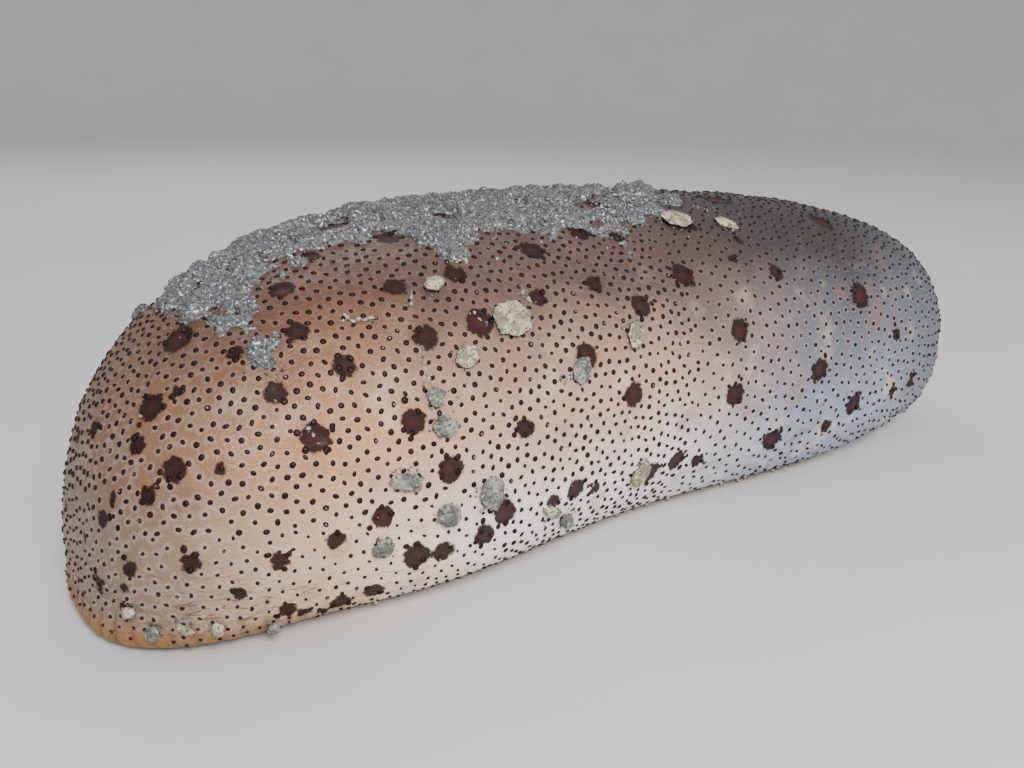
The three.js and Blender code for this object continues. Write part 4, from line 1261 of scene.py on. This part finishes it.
def crust_piece(name, first_u, last_u, last_angle):
    """The bed of one patch of sand, with the number that says where grains lie."""
    u = np.linspace(first_u, last_u, BED_ALONG)[:, None] * np.ones(BED_ACROSS)
    first_angle = sand_edges(u)[0] - FAR_MARGIN
    degrees = first_angle + (last_angle - first_angle) * np.linspace(0, 1, BED_ACROSS)
    angle = np.radians(degrees)
    floor_of_bed, direction = body_points(u, angle), body_normal(u, angle)
    level = sand_level(floor_of_bed, u, degrees)
    filled = smooth(level, *FILL_LEVELS)
    heap = smooth(level, *HEAP_LEVELS)
    crumbs = 1 + CRUMB_RISE * layered_noise(floor_of_bed, CRUMBS)
    heaped = heap * mound_height(LENGTH * u, degrees) * crumbs
    rise = BED_EDGE + (BED_THICKNESS - BED_EDGE) * heaped
    top = floor_of_bed + direction * (rise * filled - BED_SUNK * (1 - filled))[..., None]
    under = floor_of_bed - direction * BED_UNDER
    points = np.concatenate([top.reshape(-1, 3), under.reshape(-1, 3)])
    sand = np.concatenate([(filled * (0.4 + 0.6 * heap)).ravel(), np.zeros(under[..., 0].size)])
    faces = shell_faces(BED_ALONG, BED_ACROSS)
    return new_piece(name + "_bed", points, faces, bed_material, {"sand": sand})


def shell_faces(rows, columns):
    """Faces of a closed shell from a top grid and an under grid of the same size."""
    start = rows * columns
    index = np.arange(start).reshape(rows, columns)
    faces = []
    for i in range(rows - 1):
        for j in range(columns - 1):
            square = (index[i, j], index[i, j + 1], index[i + 1, j + 1], index[i + 1, j])
            faces.append(square)
            faces.append(tuple(start + corner for corner in reversed(square)))
    border = [*index[:, 0], *index[-1, 1:], *index[-2::-1, -1], *index[0, -2:0:-1]]
    for first, second in zip(border, border[1:] + border[:1]):
        faces.append((first, second, start + second, start + first))
    return faces


# %% [markdown]
# A grain is a ball of few faces, pushed out of round. The same grain lies on the beds, loose on the skin
# and, further down, at the rims of the chips. Only its size and how densely it is set differ.

# %% Grains of the crust, and loose grains
GRAIN_RADIUS, GRAIN_ROUGHNESS, GRAIN_BUMPS = 0.0005, 0.5, 2500
# each kind of scatter: the spacing in metres, how many on a square metre, and the smallest and largest size
BED_GRAINS = (0.00048, 3.2e6, (0.5, 0.45, 0.4), (1.2, 1.1, 0.95))
LOOSE_GRAINS = (0.0006, 2.2e6, (0.45, 0.45, 0.4), (1.4, 1.3, 1.0))
CHIP_GRAINS = (0.0006, 1.6e6, (0.4, 0.4, 0.35), (0.95, 0.9, 0.8))


def grain_pattern():
    shape = bmesh.new()
    bmesh.ops.create_icosphere(shape, subdivisions=1, radius=GRAIN_RADIUS)
    for corner in shape.verts:
        corner.co *= 1 + GRAIN_ROUGHNESS * noise.noise(corner.co * GRAIN_BUMPS)
    mesh = bpy.data.meshes.new("grain_shape")
    shape.to_mesh(mesh)
    shape.free()
    return bpy.data.objects.new("grain_shape", mesh)


def grains(name, surface, where, kind, seed):
    spacing, density, smallest, largest = kind
    return scattered(
        name, surface, "sand", Shape=grain_shape, Where=where, Spacing=spacing, Density=density,
        Smallest=smallest, Largest=largest, Tumble=ANY_WAY, Seed=seed, Finish=grain_material)


grain_shape = grain_pattern()
for number, (name, reaches) in enumerate(SAND_PATCHES.items()):
    bed = crust_piece(name, *reaches)
    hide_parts(name)
    grains(name + "_grains", bed, "sand", BED_GRAINS, 20 + number)
grains("stray_grains", skin_piece, "strays", LOOSE_GRAINS, 31)

# %% [markdown]
# ## Chips of shell
# Each chip has a solid in the frame, with the right place and outline but only a few flat faces. A copy of
# it is merged, divided, softened, grown a little and roughened, so that it stays where it belongs.

# %% Chips
CHIP_CUTS, CHIP_SOFTENING, CHIP_ROUGHNESS, CHIP_GROWTH = 7, 0.5, 0.6, 1.06
# layers of the rough surface: the size of a bump, and its share
CHIP_BUMPS = [(3.5, 1.0), (1.3, 0.5), (0.5, 0.3)]
# grains on the middle and at the rim of a chip, and where the rim begins and is full
GRIT_IN_MIDDLE, GRIT_AT_RIM, CHIP_RIM = 0.06, 0.7, (0.62, 0.95)
GREY_CHIPS = (4, 6, 7, 8, 9, 10, 11, 14, 18, 21)


def chip_piece(node):
    """A worn copy of one chip's solid, with grit at its rim."""
    number = int(node[-2:])
    shape = bmesh.new()
    shape.from_mesh(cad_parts[node].data)
    bmesh.ops.remove_doubles(shape, verts=shape.verts, dist=1e-6)
    bmesh.ops.subdivide_edges(shape, edges=shape.edges, cuts=CHIP_CUTS, use_grid_fill=True)
    bmesh.ops.triangulate(shape, faces=[face for face in shape.faces if len(face.verts) > 4])
    every_way = dict(use_axis_x=True, use_axis_y=True, use_axis_z=True)
    bmesh.ops.smooth_vert(shape, verts=shape.verts, factor=CHIP_SOFTENING, **every_way)
    bmesh.ops.recalc_face_normals(shape, faces=shape.faces)
    shape.normal_update()
    middle = sum((corner.co for corner in shape.verts), Vector()) / len(shape.verts)
    moves = []
    for corner in shape.verts:
        corner.co = middle + CHIP_GROWTH * (corner.co - middle)
        place = corner.co * 1000
        rough = sum(share * noise.noise(place / size) for size, share in CHIP_BUMPS)
        moves.append(corner.normal * rough * CHIP_ROUGHNESS / 1000)
    for corner, move in zip(shape.verts, moves):
        corner.co += move
    reach = np.array([(corner.co - middle).length for corner in shape.verts])
    mesh = bpy.data.meshes.new(node + "_worn")
    shape.to_mesh(mesh)
    shape.free()
    mesh.materials.append(shell_materials[number in GREY_CHIPS])
    piece = animal_piece(node + "_worn", mesh)
    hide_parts(node)
    carry(mesh, "at_rim", GRIT_IN_MIDDLE + GRIT_AT_RIM * smooth(reach / reach.max(), *CHIP_RIM))
    grains(node + "_grit", piece, "at_rim", CHIP_GRAINS, 50 + number)


for node in chip_nodes:
    chip_piece(node)
print(len(chip_nodes), "chips,", len(GREY_CHIPS), "of them grey")

# %% [markdown]
# ## The studio
# The model stands on a plain pale floor, in soft light: a bright lamp near the camera, a wide fill from
# the other side, and a rim from behind that draws the outline of the back.

# %% Floor and light
FLOOR_RADIUS, WALL_CURVE, WALL_HEIGHT, FLOOR_SIDES = 1.7, 0.9, 1.5, 96
WALL_STEPS = 12
# each lamp: where it stands in metres, how wide it is in metres, and its power in watts
LAMPS = {
    "key_lamp": ((-0.3, -0.75, 0.6), 0.4, 11.0),
    "fill_lamp": ((0.9, -0.6, 0.6), 1.0, 2.5),
    "rim_lamp": ((0.2, 0.9, 0.8), 0.7, 3.0),
}
SKY_COLOUR, SKY_STRENGTH = (0.86, 0.87, 0.88, 1.0), 0.68


def studio_floor():
    """A round floor whose rim curves up into a low wall, so that no horizon shows from any side."""
    turns = np.linspace(0, math.pi / 2, WALL_STEPS)
    radii = [0, *(FLOOR_RADIUS + WALL_CURVE * np.sin(turns)), FLOOR_RADIUS + WALL_CURVE]
    heights = [0, *(WALL_CURVE * (1 - np.cos(turns))), WALL_HEIGHT]
    around_it = 2 * np.pi * np.arange(FLOOR_SIDES) / FLOOR_SIDES
    rings = list(zip(radii[1:], heights[1:]))
    points = [(r * math.cos(a), r * math.sin(a), h) for r, h in rings for a in around_it]
    faces = [tuple(range(FLOOR_SIDES))]
    for ring in range(len(rings) - 1):
        for first in range(FLOOR_SIDES):
            second = (first + 1) % FLOOR_SIDES
            low, high = FLOOR_SIDES * ring, FLOOR_SIDES * (ring + 1)
            faces.append((low + first, high + first, high + second, low + second))
    mesh = bpy.data.meshes.new("floor")
    mesh.from_pydata(points, [], faces)
    material, place = new_material("pale_floor")
    base = blend(cloud(place, 90) + 0.5, colour(0.83, 0.83, 0.82), colour(0.85, 0.85, 0.84))
    finish_material(place, base, 0.9, cloud(place, 3), 0.02)
    mesh.materials.append(material)
    floor = place_mesh("floor", mesh)


def soft_lamp(name, place, size, power):
    """A round lamp that faces the middle of the floor."""
    lamp = bpy.data.lights.new(name, "AREA")
    lamp.shape = "DISK"
    lamp.size = size
    lamp.energy = power
    holder = bpy.data.objects.new(name, lamp)
    aimed = Vector(place).to_track_quat("Z", "Y").to_matrix().to_4x4()
    holder.matrix_world = Matrix.Translation(place) @ aimed
    bpy.context.scene.collection.objects.link(holder)


studio_floor()
for name, lamp in LAMPS.items():
    soft_lamp(name, *lamp)
world = bpy.data.worlds.new("studio")
bpy.context.scene.world = world
world.use_nodes = True
sky = world.node_tree.nodes["Background"]
sky.inputs["Color"].default_value = SKY_COLOUR
sky.inputs["Strength"].default_value = SKY_STRENGTH
print("lamps:", list(LAMPS))

# %% [markdown]
# The patterns of the scatter have done their work and go.

# %% Clean up
for pattern in (dot_shape, foot_shape, grain_shape):
    bpy.data.objects.remove(pattern)
